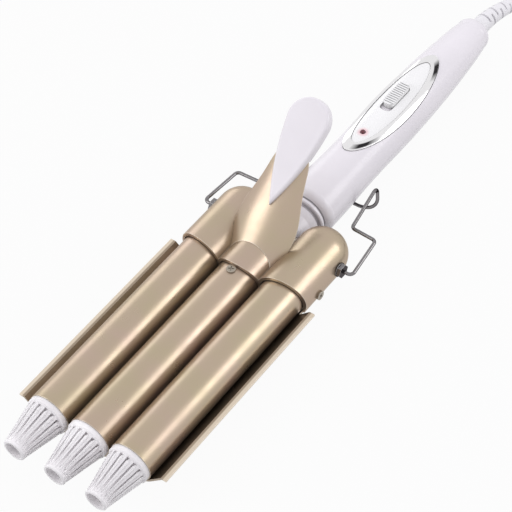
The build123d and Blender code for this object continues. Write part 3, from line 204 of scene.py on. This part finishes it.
# ---------------------------------------------------------------------------
# Node helpers
# ---------------------------------------------------------------------------
def new_material(name):
    """Material with an empty tree, its output and a Principled shader."""
    material = bpy.data.materials.new(name)
    material.use_nodes = True
    tree = material.node_tree
    tree.nodes.clear()
    output = tree.nodes.new("ShaderNodeOutputMaterial")
    shader = tree.nodes.new("ShaderNodeBsdfPrincipled")
    tree.links.new(shader.outputs["BSDF"], output.inputs["Surface"])
    return material, tree, shader


def noise(tree, coords, scale, detail=3.0, rough=0.5, stretch=(1, 1, 1)):
    """Noise in the piece's own coordinates; scale is in features per metre."""
    mapping = tree.nodes.new("ShaderNodeMapping")
    mapping.inputs["Scale"].default_value = [scale * s for s in stretch]
    tree.links.new(coords, mapping.inputs["Vector"])
    texture = tree.nodes.new("ShaderNodeTexNoise")
    texture.inputs["Scale"].default_value = 1.0
    texture.inputs["Detail"].default_value = detail
    texture.inputs["Roughness"].default_value = rough
    tree.links.new(mapping.outputs["Vector"], texture.inputs["Vector"])
    return texture.outputs["Fac"]


def spread(tree, value, low, high, at=(0.3, 0.7)):
    """Maps a 0 to 1 noise onto the range low to high."""
    node = tree.nodes.new("ShaderNodeMapRange")
    node.inputs["From Min"].default_value = at[0]
    node.inputs["From Max"].default_value = at[1]
    node.inputs["To Min"].default_value = low
    node.inputs["To Max"].default_value = high
    tree.links.new(value, node.inputs["Value"])
    return node.outputs["Result"]


def opaque(colour):
    return (*colour, 1)


def feed(tree, socket, value):
    """Links another node's output to a socket, or writes a plain value into it."""
    if hasattr(value, "node"):
        tree.links.new(value, socket)
    else:
        socket.default_value = value


def blend_colours(tree, factor, first, second):
    """Mixes two colours, each a tuple or a socket."""
    node = tree.nodes.new("ShaderNodeMix")
    node.data_type = "RGBA"
    for index, colour in ((MIX_FIRST, first), (MIX_SECOND, second)):
        feed(tree, node.inputs[index], opaque(colour) if isinstance(colour, tuple) else colour)
    tree.links.new(factor, node.inputs[MIX_FACTOR])
    return node.outputs[MIX_RESULT]


def math_node(tree, operation, *values):
    node = tree.nodes.new("ShaderNodeMath")
    node.operation = operation
    for value, socket in zip(values, node.inputs):
        feed(tree, socket, value)
    return node.outputs[0]


def vector_node(tree, x=0.0, y=0.0, z=0.0):
    node = tree.nodes.new("ShaderNodeCombineXYZ")
    for value, socket in zip((x, y, z), node.inputs):
        feed(tree, socket, value)
    return node.outputs[0]


def axes(tree, vector):
    """The X, Y and Z of a vector, as sockets by name."""
    parts = tree.nodes.new("ShaderNodeSeparateXYZ")
    tree.links.new(vector, parts.inputs[0])
    return parts.outputs


def edge_mask(tree, radius):
    """0 on open surface, rising to 1 along sharp edges."""
    bevel = tree.nodes.new("ShaderNodeBevel")
    bevel.samples = WEAR_AND_HIGHLIGHT_SAMPLES
    bevel.inputs["Radius"].default_value = radius
    geometry = tree.nodes.new("ShaderNodeNewGeometry")
    dot = tree.nodes.new("ShaderNodeVectorMath")
    dot.operation = "DOT_PRODUCT"
    tree.links.new(bevel.outputs["Normal"], dot.inputs[0])
    tree.links.new(geometry.outputs["Normal"], dot.inputs[1])
    return spread(tree, dot.outputs["Value"], 1.0, 0.0, at=SHARP_TURN)


def soft_edges(tree, shader, height, radius, strength):
    """Rounds the look of sharp edges and adds a fine bump from a height."""
    bevel = tree.nodes.new("ShaderNodeBevel")
    bevel.samples = EDGE_SAMPLES
    bevel.inputs["Radius"].default_value = radius
    bump = tree.nodes.new("ShaderNodeBump")
    bump.inputs["Strength"].default_value = strength
    bump.inputs["Distance"].default_value = GRAIN_HEIGHT
    tree.links.new(height, bump.inputs["Height"])
    tree.links.new(bevel.outputs["Normal"], bump.inputs["Normal"])
    tree.links.new(bump.outputs["Normal"], shader.inputs["Normal"])


def seen_rays(tree):
    """1 for rays that show the backdrop: from the camera, off gloss and through glass."""
    paths = tree.nodes.new("ShaderNodeLightPath")
    total = paths.outputs["Is Camera Ray"]
    for name in ("Is Glossy Ray", "Is Transmission Ray"):
        total = math_node(tree, "MAXIMUM", total, paths.outputs[name])
    return total


def crevice_shade(tree, colour, reach, depth):
    """Darkens a colour in narrow grooves and corners."""
    occlusion = tree.nodes.new("ShaderNodeAmbientOcclusion")
    occlusion.samples = CREVICE_SAMPLES
    occlusion.inputs["Distance"].default_value = reach
    low = spread(tree, occlusion.outputs["AO"], depth, 1.0, at=OPEN_SKY)
    shaded = tree.nodes.new("ShaderNodeVectorMath")
    shaded.operation = "SCALE"
    tree.links.new(colour, shaded.inputs[0])
    tree.links.new(low, shaded.inputs["Scale"])
    return shaded.outputs[0]


def object_coords(tree):
    return tree.nodes.new("ShaderNodeTexCoord").outputs["Object"]


def surface(name, colour, worn_and_highlit, roughness, metallic=0.0, coat=0.0, grain=900, stretch=(1, 1, 1),
            bump=0.12, edge=0.25 * MM, tint=0.06, hue=(1, 1, 1), wear_and_highlight=0.5,
            shade=(6 * MM, 0.55), zone=None, rim=None, gloss=0.5, milky=0.0):
    """A finish with cloudy colour, uneven gloss, fine grain, edges worn towards another colour that
    also serves as a painted highlight along them, and painted shade in grooves.

    A zone gives a factor and a second colour for a part of the piece, a rim is a metal's
    colour where it is seen along its surface, and a milky plastic lets some light through.
    """
    material, tree, shader = new_material(name)
    coords = object_coords(tree)
    clouds = noise(tree, coords, CLOUD_SCALE, detail=CLOUD_DETAIL)
    fine = noise(tree, coords, grain, detail=GRAIN_DETAIL, stretch=stretch)
    deep = tuple(c * (1 - tint * h) for c, h in zip(colour, hue))
    light = tuple(min(1, c * (1 + tint * h)) for c, h in zip(colour, hue))
    base = blend_colours(tree, spread(tree, clouds, 0, 1), deep, light)
    if zone:
        factor, second = zone(tree, coords)
        base = blend_colours(tree, factor, base, second)
    # wear and painted highlight: sharp edges blend towards the second colour, as worn and lit rims
    worn_and_highlit_edge = math_node(tree, "MULTIPLY", edge_mask(tree, edge * WEAR_AND_HIGHLIGHT_REACH), wear_and_highlight)
    worn_and_highlit_base = blend_colours(tree, worn_and_highlit_edge, base, worn_and_highlit)
    tree.links.new(crevice_shade(tree, worn_and_highlit_base, *shade), shader.inputs["Base Color"])
    smears = noise(tree, coords, SMEAR_SCALE, detail=SMEAR_DETAIL, rough=SMEAR_ROUGHNESS)
    tree.links.new(spread(tree, smears, roughness[0], roughness[1]), shader.inputs["Roughness"])
    shader.inputs["Metallic"].default_value = metallic
    shader.inputs["Coat Weight"].default_value = coat
    shader.inputs["Coat Roughness"].default_value = roughness[0]
    shader.inputs["Specular IOR Level"].default_value = gloss
    shader.inputs["Subsurface Weight"].default_value = milky
    shader.inputs["Subsurface Radius"].default_value = WHITE
    shader.inputs["Subsurface Scale"].default_value = MILKY_DEPTH
    if rim:
        shader.inputs["Specular Tint"].default_value = opaque(rim)
    soft_edges(tree, shader, fine, edge, bump)
    return material


def lip_highlight_zone(tree, coords):
    """Painted highlight on the lips along the plate's outer edges: the same metal, coloured paler than
    the rest of it as if lit.
    """
    away = math_node(tree, "ABSOLUTE", axes(tree, coords)["X"])
    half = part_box("lower_plate")[1][0]
    return spread(tree, away, 0.0, 1.0, at=(half - LIP_START, half - LIP_FULL)), LIP_HIGHLIGHT_COLOUR


def lens_zone(tree, coords):
    """The glow of the pilot light on the panel round its lens."""
    low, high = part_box("pilot_lens")
    away = tree.nodes.new("ShaderNodeVectorMath")
    away.operation = "DISTANCE"
    tree.links.new(coords, away.inputs[0])
    middle = ((low[0] + high[0]) / 2, (low[1] + high[1]) / 2, high[2] - GLOW_DEPTH)
    away.inputs[1].default_value = middle
    return spread(tree, away.outputs["Value"], GLOW_SHARE, 0.0, at=GLOW_REACH), GLOW_COLOUR


def window(tree, value, low, high, soft):
    """1 between low and high, falling softly to 0 inside both ends."""
    rise = spread(tree, value, 0.0, 1.0, at=(low, low + soft))
    fall = spread(tree, value, 1.0, 0.0, at=(high - soft, high))
    return math_node(tree, "MULTIPLY", rise, fall)


def ring_reflection_zone(tree, coords):
    """Painted reflections: the two dark bands that the plated ring shows at the ends of its right side,
    painted into its colour.
    """
    low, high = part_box("bezel")
    half_width, half_length = (high[0] - low[0]) / 2, (high[1] - low[1]) / 2
    middle_y = (low[1] + high[1]) / 2
    place = axes(tree, coords)
    across = math_node(tree, "DIVIDE", place["X"], half_width)
    along = math_node(tree, "DIVIDE", math_node(tree, "SUBTRACT", middle_y, place["Y"]), half_length)
    squares = [math_node(tree, "POWER", value, 2.0) for value in (across, along)]
    ring = math_node(tree, "SQRT", math_node(tree, "ADD", *squares))
    turn = math_node(tree, "ARCTAN2", across, along)
    reflection_bands = [
        math_node(tree, "MULTIPLY", window(tree, turn, radians(start), radians(end), soft),
                  window(tree, ring, inner, outer, REFLECTION_BAND_SOFT))
        for start, end, soft, inner, outer in RING_REFLECTION_BANDS
    ]
    return math_node(tree, "MAXIMUM", *reflection_bands), REFLECTION_BAND_COLOUR


def metal_finishes():
    """Satin, plated and bare metals, by slot."""
    colours, _ = settings()
    champagne = tuple(colours.champagne)
    # paler colour of the worn edges, which also stands in for their highlight
    pale = (0.82, 0.75, 0.65)
    return {
        "champagne_metal": surface(
            "champagne satin", champagne, pale, (0.27, 0.37), metallic=0.8, coat=0.45, grain=1500,
            stretch=(1, 0.12, 1), bump=0.10, tint=0.06, hue=(0.4, -0.3, 1), edge=0.45 * MM,
            wear_and_highlight=0.8, shade=(2 * MM, 0.75), rim=(0.62, 0.52, 0.42)),
        # Painted shade: the plate is the champagne metal made darker, with deeper darkening in its
        # grooves, as it lies in shadow under the barrels
        "shaded_plate_metal": surface(
            "shaded plate satin", tuple(c * 0.75 for c in champagne), pale, (0.3, 0.42), metallic=0.85,
            grain=1500, stretch=(1, 0.12, 1), bump=0.12, tint=0.12, shade=(8 * MM, 0.6),
            zone=lip_highlight_zone),
        "bezel_chrome": surface(
            "bezel plating", (0.80, 0.79, 0.80), (0.95, 0.95, 0.95), (0.05, 0.11), metallic=1.0,
            grain=500, bump=0.03, tint=0.02, zone=ring_reflection_zone),
        "bright_steel": surface(
            "nickel plating", (0.22, 0.21, 0.215), (0.7, 0.69, 0.68), (0.08, 0.18), metallic=1.0,
            grain=1800, bump=0.06, tint=0.06, rim=(0.02, 0.02, 0.02)),
        "spring_steel": surface(
            "spring wire", (0.28, 0.28, 0.29), (0.5, 0.5, 0.5), (0.25, 0.4), metallic=1.0,
            grain=1800, bump=0.1),
        "screw_steel": surface(
            "screw steel", (0.36, 0.32, 0.27), (0.66, 0.60, 0.52), (0.2, 0.34), metallic=1.0,
            grain=2200, bump=0.12),
        "spreader_metal": surface(
            "heat spreader", (0.60, 0.60, 0.61), (0.8, 0.8, 0.8), (0.3, 0.45), metallic=1.0,
            grain=1500, stretch=(1, 0.1, 1), bump=0.15),
        "pin_metal": surface(
            "pin plating", (0.72, 0.70, 0.62), (0.9, 0.88, 0.8), (0.16, 0.28), metallic=1.0,
            grain=1800, stretch=(1, 0.1, 1), bump=0.08),
    }


def plastic_finishes():
    """Shells, tips, panel, lens and the plastics inside, by slot."""
    colours, _ = settings()
    return {
        "cool_tip_plastic": surface(
            "cool tip plastic", tuple(colours.tip_white), (0.93, 0.91, 0.92), (0.42, 0.58),
            grain=1600, bump=0.06, shade=(2 * MM, 0.95), milky=0.5),
        "white_plastic": surface(
            "white shell gloss", tuple(colours.shell_white), (0.93, 0.92, 0.94), (0.18, 0.28),
            coat=0.05, grain=700, bump=0.04, tint=0.02, gloss=0.35),
        "panel_plastic": surface(
            "pale panel gloss", (0.9, 0.9, 0.895), (0.95, 0.95, 0.95), (0.2, 0.3), coat=0.2,
            grain=700, bump=0.05, tint=0.02, zone=lens_zone),
        "red_lens": surface(
            "pilot lens", tuple(colours.lens_red), (0.75, 0.08, 0.12), (0.06, 0.12), coat=0.6,
            grain=900, bump=0.03, wear_and_highlight=0.3),
        "frame_plastic": surface(
            "frame plastic", (0.62, 0.60, 0.58), (0.75, 0.74, 0.72), (0.45, 0.6), grain=1600,
            bump=0.2),
        "heat_plastic": surface(
            "heat-proof plastic", (0.05, 0.047, 0.045), (0.15, 0.14, 0.13), (0.5, 0.65),
            grain=1500, bump=0.25),
        "black_plastic": surface(
            "black plastic", (0.02, 0.02, 0.022), (0.09, 0.09, 0.09), (0.4, 0.55), grain=1800,
            bump=0.2),
        "tie_plastic": surface(
            "tie band", (0.74, 0.74, 0.74), (0.85, 0.85, 0.85), (0.4, 0.5), grain=1400, bump=0.15),
    }


def other_finishes():
    """Ceramic, circuit board and the leads, by slot."""
    return {
        "ceramic": surface(
            "heating ceramic", (0.80, 0.77, 0.70), (0.9, 0.88, 0.82), (0.55, 0.7), grain=2600,
            bump=0.2),
        "board": surface(
            "circuit board", (0.03, 0.16, 0.06), (0.35, 0.30, 0.15), (0.35, 0.5), grain=1600,
            bump=0.15),
        "lead_sleeve": surface(
            "lead sleeve", (0.60, 0.58, 0.55), (0.72, 0.70, 0.67), (0.5, 0.6), grain=1800,
            bump=0.2),
        "cord_rubber": surface(
            "white lead", (0.84, 0.83, 0.85), (0.86, 0.85, 0.87), (0.36, 0.5), grain=1400,
            bump=0.16, tint=0.03, shade=(2 * MM, 0.95)),
    }


finishes = {}


def finish_of(slot):
    """The finish for a slot of the record; all of them are made on first use."""
    if not finishes:
        finishes.update(metal_finishes() | plastic_finishes() | other_finishes())
    return finishes[slot]


# ---------------------------------------------------------------------------
# Operators
# ---------------------------------------------------------------------------
class WAVER_OT_finishes(Operator):
    """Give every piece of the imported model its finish"""

    bl_idname = "waver.finishes"
    bl_label = "Finish the Packed Pieces"

    def execute(self, context):
        for row in frame["record"]["subparts"]:
            piece = nodes[row["node"]]
            piece.data.materials.clear()
            # the lower plate takes the copy of the champagne metal with painted shade
            slot = "shaded_plate_metal" if row["node"] == "lower_plate" else row["material_slot"]
            piece.data.materials.append(finish_of(slot))
        return {"FINISHED"}


class WAVER_OT_stage(Operator):
    """Set the camera, the soft lamps, the pale world and the floor"""

    bl_idname = "waver.stage"
    bl_label = "Build the Stage"

    target: FloatVectorProperty(
        name="Target",
        description="Point that the camera looks at",
        size=3,
        unit="LENGTH",
        default=(-1.52 * MM, -24.64 * MM, 23.5 * MM),
    )
    azimuth: FloatProperty(
        name="Azimuth",
        description="Turn of the camera round the iron",
        unit="ROTATION",
        default=radians(40.74),
    )
    elevation: FloatProperty(
        name="Elevation",
        description="Height of the camera above the horizon",
        unit="ROTATION",
        default=radians(49.18),
    )
    roll: FloatProperty(
        name="Roll",
        description="Turn of the camera about its own axis",
        unit="ROTATION",
        default=radians(-5.56),
    )
    distance: FloatProperty(
        name="Distance",
        description="From the camera to its target",
        unit="LENGTH",
        default=1055.25 * MM,
    )
    focal_length: FloatProperty(
        name="Focal length",
        description="Focal length of the camera, in millimetres",
        default=135.9,
    )

    def execute(self, context):
        self.camera(context)
        self.lamps(context)
        self.world(context)
        self.floor(context)
        return {"FINISHED"}

    def camera(self, context):
        """A long lens turned round the target, then about its own axis."""
        a, e, roll = self.azimuth, self.elevation, self.roll
        back = Vector((sin(a) * cos(e), -cos(a) * cos(e), sin(e)))
        level = Vector((cos(a), sin(a), 0))
        up = back.cross(level)
        right = cos(roll) * level + sin(roll) * up
        top = cos(roll) * up - sin(roll) * level
        data = bpy.data.cameras.new("waver camera")
        data.sensor_width = SENSOR_WIDTH
        data.lens = self.focal_length
        data.clip_start, data.clip_end = NEAREST, FARTHEST
        camera = bpy.data.objects.new("waver_camera", data)
        place = Vector(self.target) + self.distance * back
        turned = Matrix((right, top, back)).transposed().to_4x4()
        camera.matrix_world = Matrix.Translation(place) @ turned
        context.scene.collection.objects.link(camera)
        context.scene.camera = camera
        context.scene.view_settings.view_transform = "Standard"

    def lamps(self, context):
        """Three soft lamps, all aimed at the middle of the iron."""
        for name, place, size, power in LAMPS:
            data = bpy.data.lights.new(name, "AREA")
            data.shape = "DISK"
            data.size = size
            data.energy = power
            lamp = bpy.data.objects.new(name, data)
            lamp.location = place
            aim = Vector(LAMP_AIM) - Vector(place)
            lamp.rotation_euler = aim.to_track_quat("-Z", "Y").to_euler()
            context.scene.collection.objects.link(lamp)

    def world(self, context):
        """White where the backdrop is seen; the light is from a room that is paler above."""
        world = bpy.data.worlds.new("pale room")
        world.use_nodes = True
        tree = world.node_tree
        tree.nodes.clear()
        output = tree.nodes.new("ShaderNodeOutputWorld")
        ambient = tree.nodes.new("ShaderNodeBackground")
        ambient.inputs["Color"].default_value = opaque(ROOM_TINT)
        height = axes(tree, tree.nodes.new("ShaderNodeTexCoord").outputs["Generated"])["Z"]
        strength = spread(tree, height, ROOM_LOW, ROOM_HIGH, at=ROOM_RISE)
        tree.links.new(strength, ambient.inputs["Strength"])
        seen = tree.nodes.new("ShaderNodeBackground")
        seen.inputs["Color"].default_value = opaque(WHITE)
        seen.inputs["Strength"].default_value = 1.0
        mix = self.mixed(tree, seen_rays(tree), ambient, seen)
        tree.links.new(mix, output.inputs["Surface"])
        context.scene.world = world

    def floor(self, context):
        """A pale floor that keeps a light shadow."""
        mesh = bpy.data.meshes.new("floor")
        maker = bmesh.new()
        bmesh.ops.create_grid(maker, x_segments=2, y_segments=2, size=FLOOR_HALF_SIDE)
        maker.to_mesh(mesh)
        maker.free()
        mesh.transform(Matrix.Translation((0, 0, -FLOOR_DROP)))
        floor = bpy.data.objects.new("floor", mesh)
        context.scene.collection.objects.link(floor)
        material, tree, shader = new_material("pale floor")
        shader.inputs["Base Color"].default_value = opaque(FLOOR_GREY)
        shader.inputs["Roughness"].default_value = FLOOR_ROUGHNESS
        glow = tree.nodes.new("ShaderNodeEmission")
        glow.inputs["Color"].default_value = opaque(WHITE)
        share = math_node(tree, "MULTIPLY", seen_rays(tree), FLOOR_GLOW)
        output = next(n for n in tree.nodes if n.type == "OUTPUT_MATERIAL")
        tree.links.new(self.mixed(tree, share, shader, glow), output.inputs["Surface"])
        mesh.materials.append(material)

    def mixed(self, tree, share, first, second):
        """Mixes two shaders; share is how much of the second shows."""
        mix = tree.nodes.new("ShaderNodeMixShader")
        for value, socket in zip((share, first.outputs[0], second.outputs[0]), mix.inputs):
            tree.links.new(value, socket)
        return mix.outputs[0]


class WAVER_OT_lead(Operator):
    """Lay the mains lead along its route and wind the rest into a coil"""

    bl_idname = "waver.lead"
    bl_label = "Lay the Mains Lead"

    def execute(self, context):
        _, sizes = settings()
        thick = sizes.cord_diameter
        points = [tuple(c * MM for c in p) for p in LEAD_DROP]
        points += self.coil(sizes.coil_diameter / 2, thick)
        points += [tuple(c * MM for c in p) for p in LEAD_TO_PLUG]
        curve = bpy.data.curves.new("mains lead", "CURVE")
        curve.dimensions = "3D"
        curve.bevel_depth = thick / 2
        curve.bevel_resolution = 5
        curve.resolution_u = 6
        curve.use_fill_caps = True
        spline = curve.splines.new("NURBS")
        spline.points.add(len(points) - 1)
        for point, place in zip(spline.points, points):
            point.co = (*place, 1)
        spline.order_u = LEAD_CURVE_ORDER
        spline.use_endpoint_u = True
        curve.materials.append(finish_of("cord_rubber"))
        lead = bpy.data.objects.new("mains_lead", curve)
        context.scene.collection.objects.link(lead)
        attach(lead, "base")
        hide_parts("power_cord", "cord_coil", "plug_lead")
        return {"FINISHED"}

    def coil(self, mean, thick):
        """Control points of the turns: four on the floor from outside in, then those above."""
        bulge = 0.75 + 0.25 * cos(2 * pi / COIL_CORNERS)
        low, high, crossing = 0.5 * thick, (0.5 + sin(radians(60))) * thick, 1.5 * thick
        lower = [mean + thick * k for k in (1.5, 0.5, -0.5, -1.5)]
        upper = [mean + thick * k for k in (-1, 0, 1, 1)]
        turns = [(radius, low) for radius in lower] + [(radius, high) for radius in upper]
        climb = {**COIL_CLIMB, COIL_CORNERS - 1: (COIL_LAST_STEP, crossing)}
        middle_x = COIL_START_X + lower[0]
        made = []
        for k in range(round(COIL_TURNS * COIL_CORNERS)):
            turn, step = divmod(k, COIL_CORNERS)
            radius, z = turns[turn]
            share = max(0.0, (step - COIL_CORNERS + COIL_CHANGE) / COIL_CHANGE)
            if share and turn == len(lower) - 1:
                radius, z = radius + climb[step][0], climb[step][1]
            elif share:
                radius += (turns[turn + 1][0] - radius) * share
                z = low if turn < len(lower) else crossing
            angle = pi - 2 * pi * (k + 0.5) / COIL_CORNERS
            reach = radius / bulge
            made.append((middle_x + reach * cos(angle), COIL_Y + reach * sin(angle), z))
        return made


# ---------------------------------------------------------------------------
# Repeated and small pieces
# ---------------------------------------------------------------------------
def numbered_tree(name, sizes):
    """Geometry node tree with a named input for each size, its group input and output."""
    tree = bpy.data.node_groups.new(name, "GeometryNodeTree")
    tree.interface.new_socket("Geometry", in_out="OUTPUT", socket_type="NodeSocketGeometry")
    for label, value in sizes.items():
        kind = "NodeSocketInt" if isinstance(value, int) else "NodeSocketFloat"
        tree.interface.new_socket(label, in_out="INPUT", socket_type=kind)
    return tree, tree.nodes.new("NodeGroupInput"), tree.nodes.new("NodeGroupOutput")


def grown(name, tree, sizes):
    """Runs a tree on an empty mesh with its sizes and keeps the result as a plain mesh."""
    carrier = bpy.data.objects.new(name + "_tree", bpy.data.meshes.new(name + "_tree"))
    bpy.context.scene.collection.objects.link(carrier)
    modifier = carrier.modifiers.new("tree", "NODES")
    modifier.node_group = tree
    for item in tree.interface.items_tree:
        if item.in_out == "INPUT":
            modifier[item.identifier] = sizes[item.name]
    deps = bpy.context.evaluated_depsgraph_get()
    mesh = bpy.data.meshes.new_from_object(carrier.evaluated_get(deps))
    carrier.modifiers.remove(modifier)
    bpy.data.objects.remove(carrier)
    piece = bpy.data.objects.new(name, mesh)
    bpy.context.scene.collection.objects.link(piece)
    return piece


class WAVER_OT_tip_ribs(Operator):
    """Round the crowns of the ribs round the three cool tips"""

    bl_idname = "waver.tip_ribs"
    bl_label = "Round the Tip Ribs"

    ribs: IntProperty(name="Ribs", description="Ribs round each tip", default=16, min=6, max=32)
    start: FloatProperty(
        name="Start",
        description="Where the ribs begin, along the iron",
        unit="LENGTH",
        default=-172.7 * MM,
    )
    end: FloatProperty(
        name="End", description="Where the ribs end, along the iron", unit="LENGTH", default=-194.5 * MM
    )
    root_radius: FloatProperty(
        name="Root radius",
        description="From the tip's axis to a crown's middle at the collar",
        unit="LENGTH",
        default=10.85 * MM,
    )
    nose_radius: FloatProperty(
        name="Nose radius",
        description="From the tip's axis to a crown's middle at the nose",
        unit="LENGTH",
        default=6.7 * MM,
    )
    root_width: FloatProperty(
        name="Root width", description="Width of a crown at the collar", unit="LENGTH", default=2.4 * MM
    )
    nose_width: FloatProperty(
        name="Nose width", description="Width of a crown at the nose", unit="LENGTH", default=0.75 * MM
    )
    crown: FloatProperty(
        name="Crown", description="Height of a crown over its width", default=0.6, min=0.1, max=1
    )
    pitch: FloatProperty(
        name="Pitch", description="From one tip's axis to the next", unit="LENGTH", default=27 * MM
    )
    axis_height: FloatProperty(
        name="Axis height", description="Height of the tips' axes", unit="LENGTH", default=23.5 * MM
    )

    def execute(self, context):
        sizes = {
            "Ribs": self.ribs,
            "Start": self.start,
            "End": self.end,
            "Root radius": self.root_radius,
            "Nose radius": self.nose_radius,
            "Root width": self.root_width,
            "Nose width": self.nose_width,
            "Crown": self.crown,
            "Pitch": self.pitch,
            "Axis height": self.axis_height,
        }
        tree, given, output = numbered_tree("tip ribs", sizes)
        rib = self.one_rib(tree, given.outputs)
        tip = self.round_the_axis(tree, given.outputs, rib)
        tips = self.three_in_a_row(tree, given.outputs, tip)
        real = tree.nodes.new("GeometryNodeRealizeInstances")
        tree.links.new(tips, real.inputs[0])
        smooth = tree.nodes.new("GeometryNodeSetShadeSmooth")
        tree.links.new(real.outputs[0], smooth.inputs[0])
        finish = tree.nodes.new("GeometryNodeSetMaterial")
        finish.inputs["Material"].default_value = finish_of("cool_tip_plastic")
        tree.links.new(smooth.outputs[0], finish.inputs["Geometry"])
        tree.links.new(finish.outputs[0], output.inputs[0])
        piece = grown("tip_rib_crowns", tree, sizes)
        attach(piece, "jaw")
        return {"FINISHED"}

    def one_rib(self, tree, given):
        """An oval rod from the collar to the nose that thins towards both of its ends."""
        line = tree.nodes.new("GeometryNodeCurvePrimitiveLine")
        for end, radius in (("Start", "Root radius"), ("End", "Nose radius")):
            tree.links.new(vector_node(tree, 0.0, given[end], given[radius]), line.inputs[end])
        divided = tree.nodes.new("GeometryNodeResampleCurve")
        divided.inputs["Count"].default_value = RIB_STEPS
        tree.links.new(line.outputs[0], divided.inputs["Curve"])
        along = tree.nodes.new("GeometryNodeSplineParameter").outputs["Factor"]
        narrowing = math_node(tree, "SUBTRACT", given["Nose width"], given["Root width"])
        width = math_node(tree, "ADD", given["Root width"],
                          math_node(tree, "MULTIPLY", along, narrowing))
        inwards = math_node(tree, "MULTIPLY", along, math_node(tree, "SUBTRACT", 1.0, along))
        rise = math_node(tree, "MULTIPLY", RIB_END_RISE, inwards)
        ends = math_node(tree, "MINIMUM", 1.0, math_node(tree, "ADD", RIB_END_WIDTH, rise))
        ring = tree.nodes.new("GeometryNodeCurvePrimitiveCircle")
        ring.inputs["Resolution"].default_value = RIB_SIDES
        ring.inputs["Radius"].default_value = 0.5
        flat = tree.nodes.new("GeometryNodeTransform")
        tree.links.new(ring.outputs[0], flat.inputs["Geometry"])
        tree.links.new(vector_node(tree, 1.0, given["Crown"], 1.0), flat.inputs["Scale"])
        solid = tree.nodes.new("GeometryNodeCurveToMesh")
        tree.links.new(divided.outputs[0], solid.inputs["Curve"])
        tree.links.new(flat.outputs[0], solid.inputs["Profile Curve"])
        tree.links.new(math_node(tree, "MULTIPLY", width, ends), solid.inputs["Scale"])
        solid.inputs["Fill Caps"].default_value = True
        return solid.outputs[0]

    def round_the_axis(self, tree, given, rib):
        """One copy for each rib, all on the tip's axis, each turned a step further."""
        spots = tree.nodes.new("GeometryNodePoints")
        tree.links.new(given["Ribs"], spots.inputs["Count"])
        index = tree.nodes.new("GeometryNodeInputIndex").outputs[0]
        angle = math_node(tree, "MULTIPLY", index, math_node(tree, "DIVIDE", 2 * pi, given["Ribs"]))
        turn = tree.nodes.new("FunctionNodeEulerToRotation")
        tree.links.new(vector_node(tree, 0.0, angle, 0.0), turn.inputs[0])
        ribs = tree.nodes.new("GeometryNodeInstanceOnPoints")
        tree.links.new(spots.outputs[0], ribs.inputs["Points"])
        tree.links.new(rib, ribs.inputs["Instance"])
        tree.links.new(turn.outputs[0], ribs.inputs["Rotation"])
        return ribs.outputs[0]

    def three_in_a_row(self, tree, given, tip):
        """The same ribs on the left, the middle and the right tip."""
        left = math_node(tree, "MULTIPLY", given["Pitch"], -1.0)
        row = tree.nodes.new("GeometryNodeMeshLine")
        row.inputs["Count"].default_value = 3
        tree.links.new(vector_node(tree, left, 0.0, given["Axis height"]),
                       row.inputs["Start Location"])
        tree.links.new(vector_node(tree, given["Pitch"]), row.inputs["Offset"])
        tips = tree.nodes.new("GeometryNodeInstanceOnPoints")
        tree.links.new(row.outputs[0], tips.inputs["Points"])
        tree.links.new(tip, tips.inputs["Instance"])
        return tips.outputs[0]


# ---------------------------------------------------------------------------
# Panel, registration and the run
# ---------------------------------------------------------------------------
STEPS = (WAVER_OT_stage, WAVER_OT_lead, WAVER_OT_finishes, WAVER_OT_tip_ribs)


class WAVER_PT_sidebar(Panel):
    """Lists the steps that build the waver"""

    bl_label = "Hair Waver"
    bl_idname = "WAVER_PT_sidebar"
    bl_space_type = "VIEW_3D"
    bl_region_type = "UI"
    bl_category = "Waver"

    def draw(self, context):
        scene = context.scene
        for name in WaverColours.__annotations__:
            self.layout.prop(scene.waver_colours, name)
        for name in WaverSizes.__annotations__:
            self.layout.prop(scene.waver_sizes, name)
        for step in STEPS:
            self.layout.operator(step.bl_idname)


CLASSES = (WaverColours, WaverSizes, *STEPS, WAVER_PT_sidebar)


def register():
    for item in CLASSES:
        bpy.utils.register_class(item)
    bpy.types.Scene.waver_colours = PointerProperty(type=WaverColours)
    bpy.types.Scene.waver_sizes = PointerProperty(type=WaverSizes)


def unregister():
    del bpy.types.Scene.waver_sizes
    del bpy.types.Scene.waver_colours
    for item in reversed(CLASSES):
        bpy.utils.unregister_class(item)


def main():
    register()
    for step in STEPS:
        group, name = step.bl_idname.split(".")
        getattr(getattr(bpy.ops, group), name)()


if __name__ == "__main__":
    main()
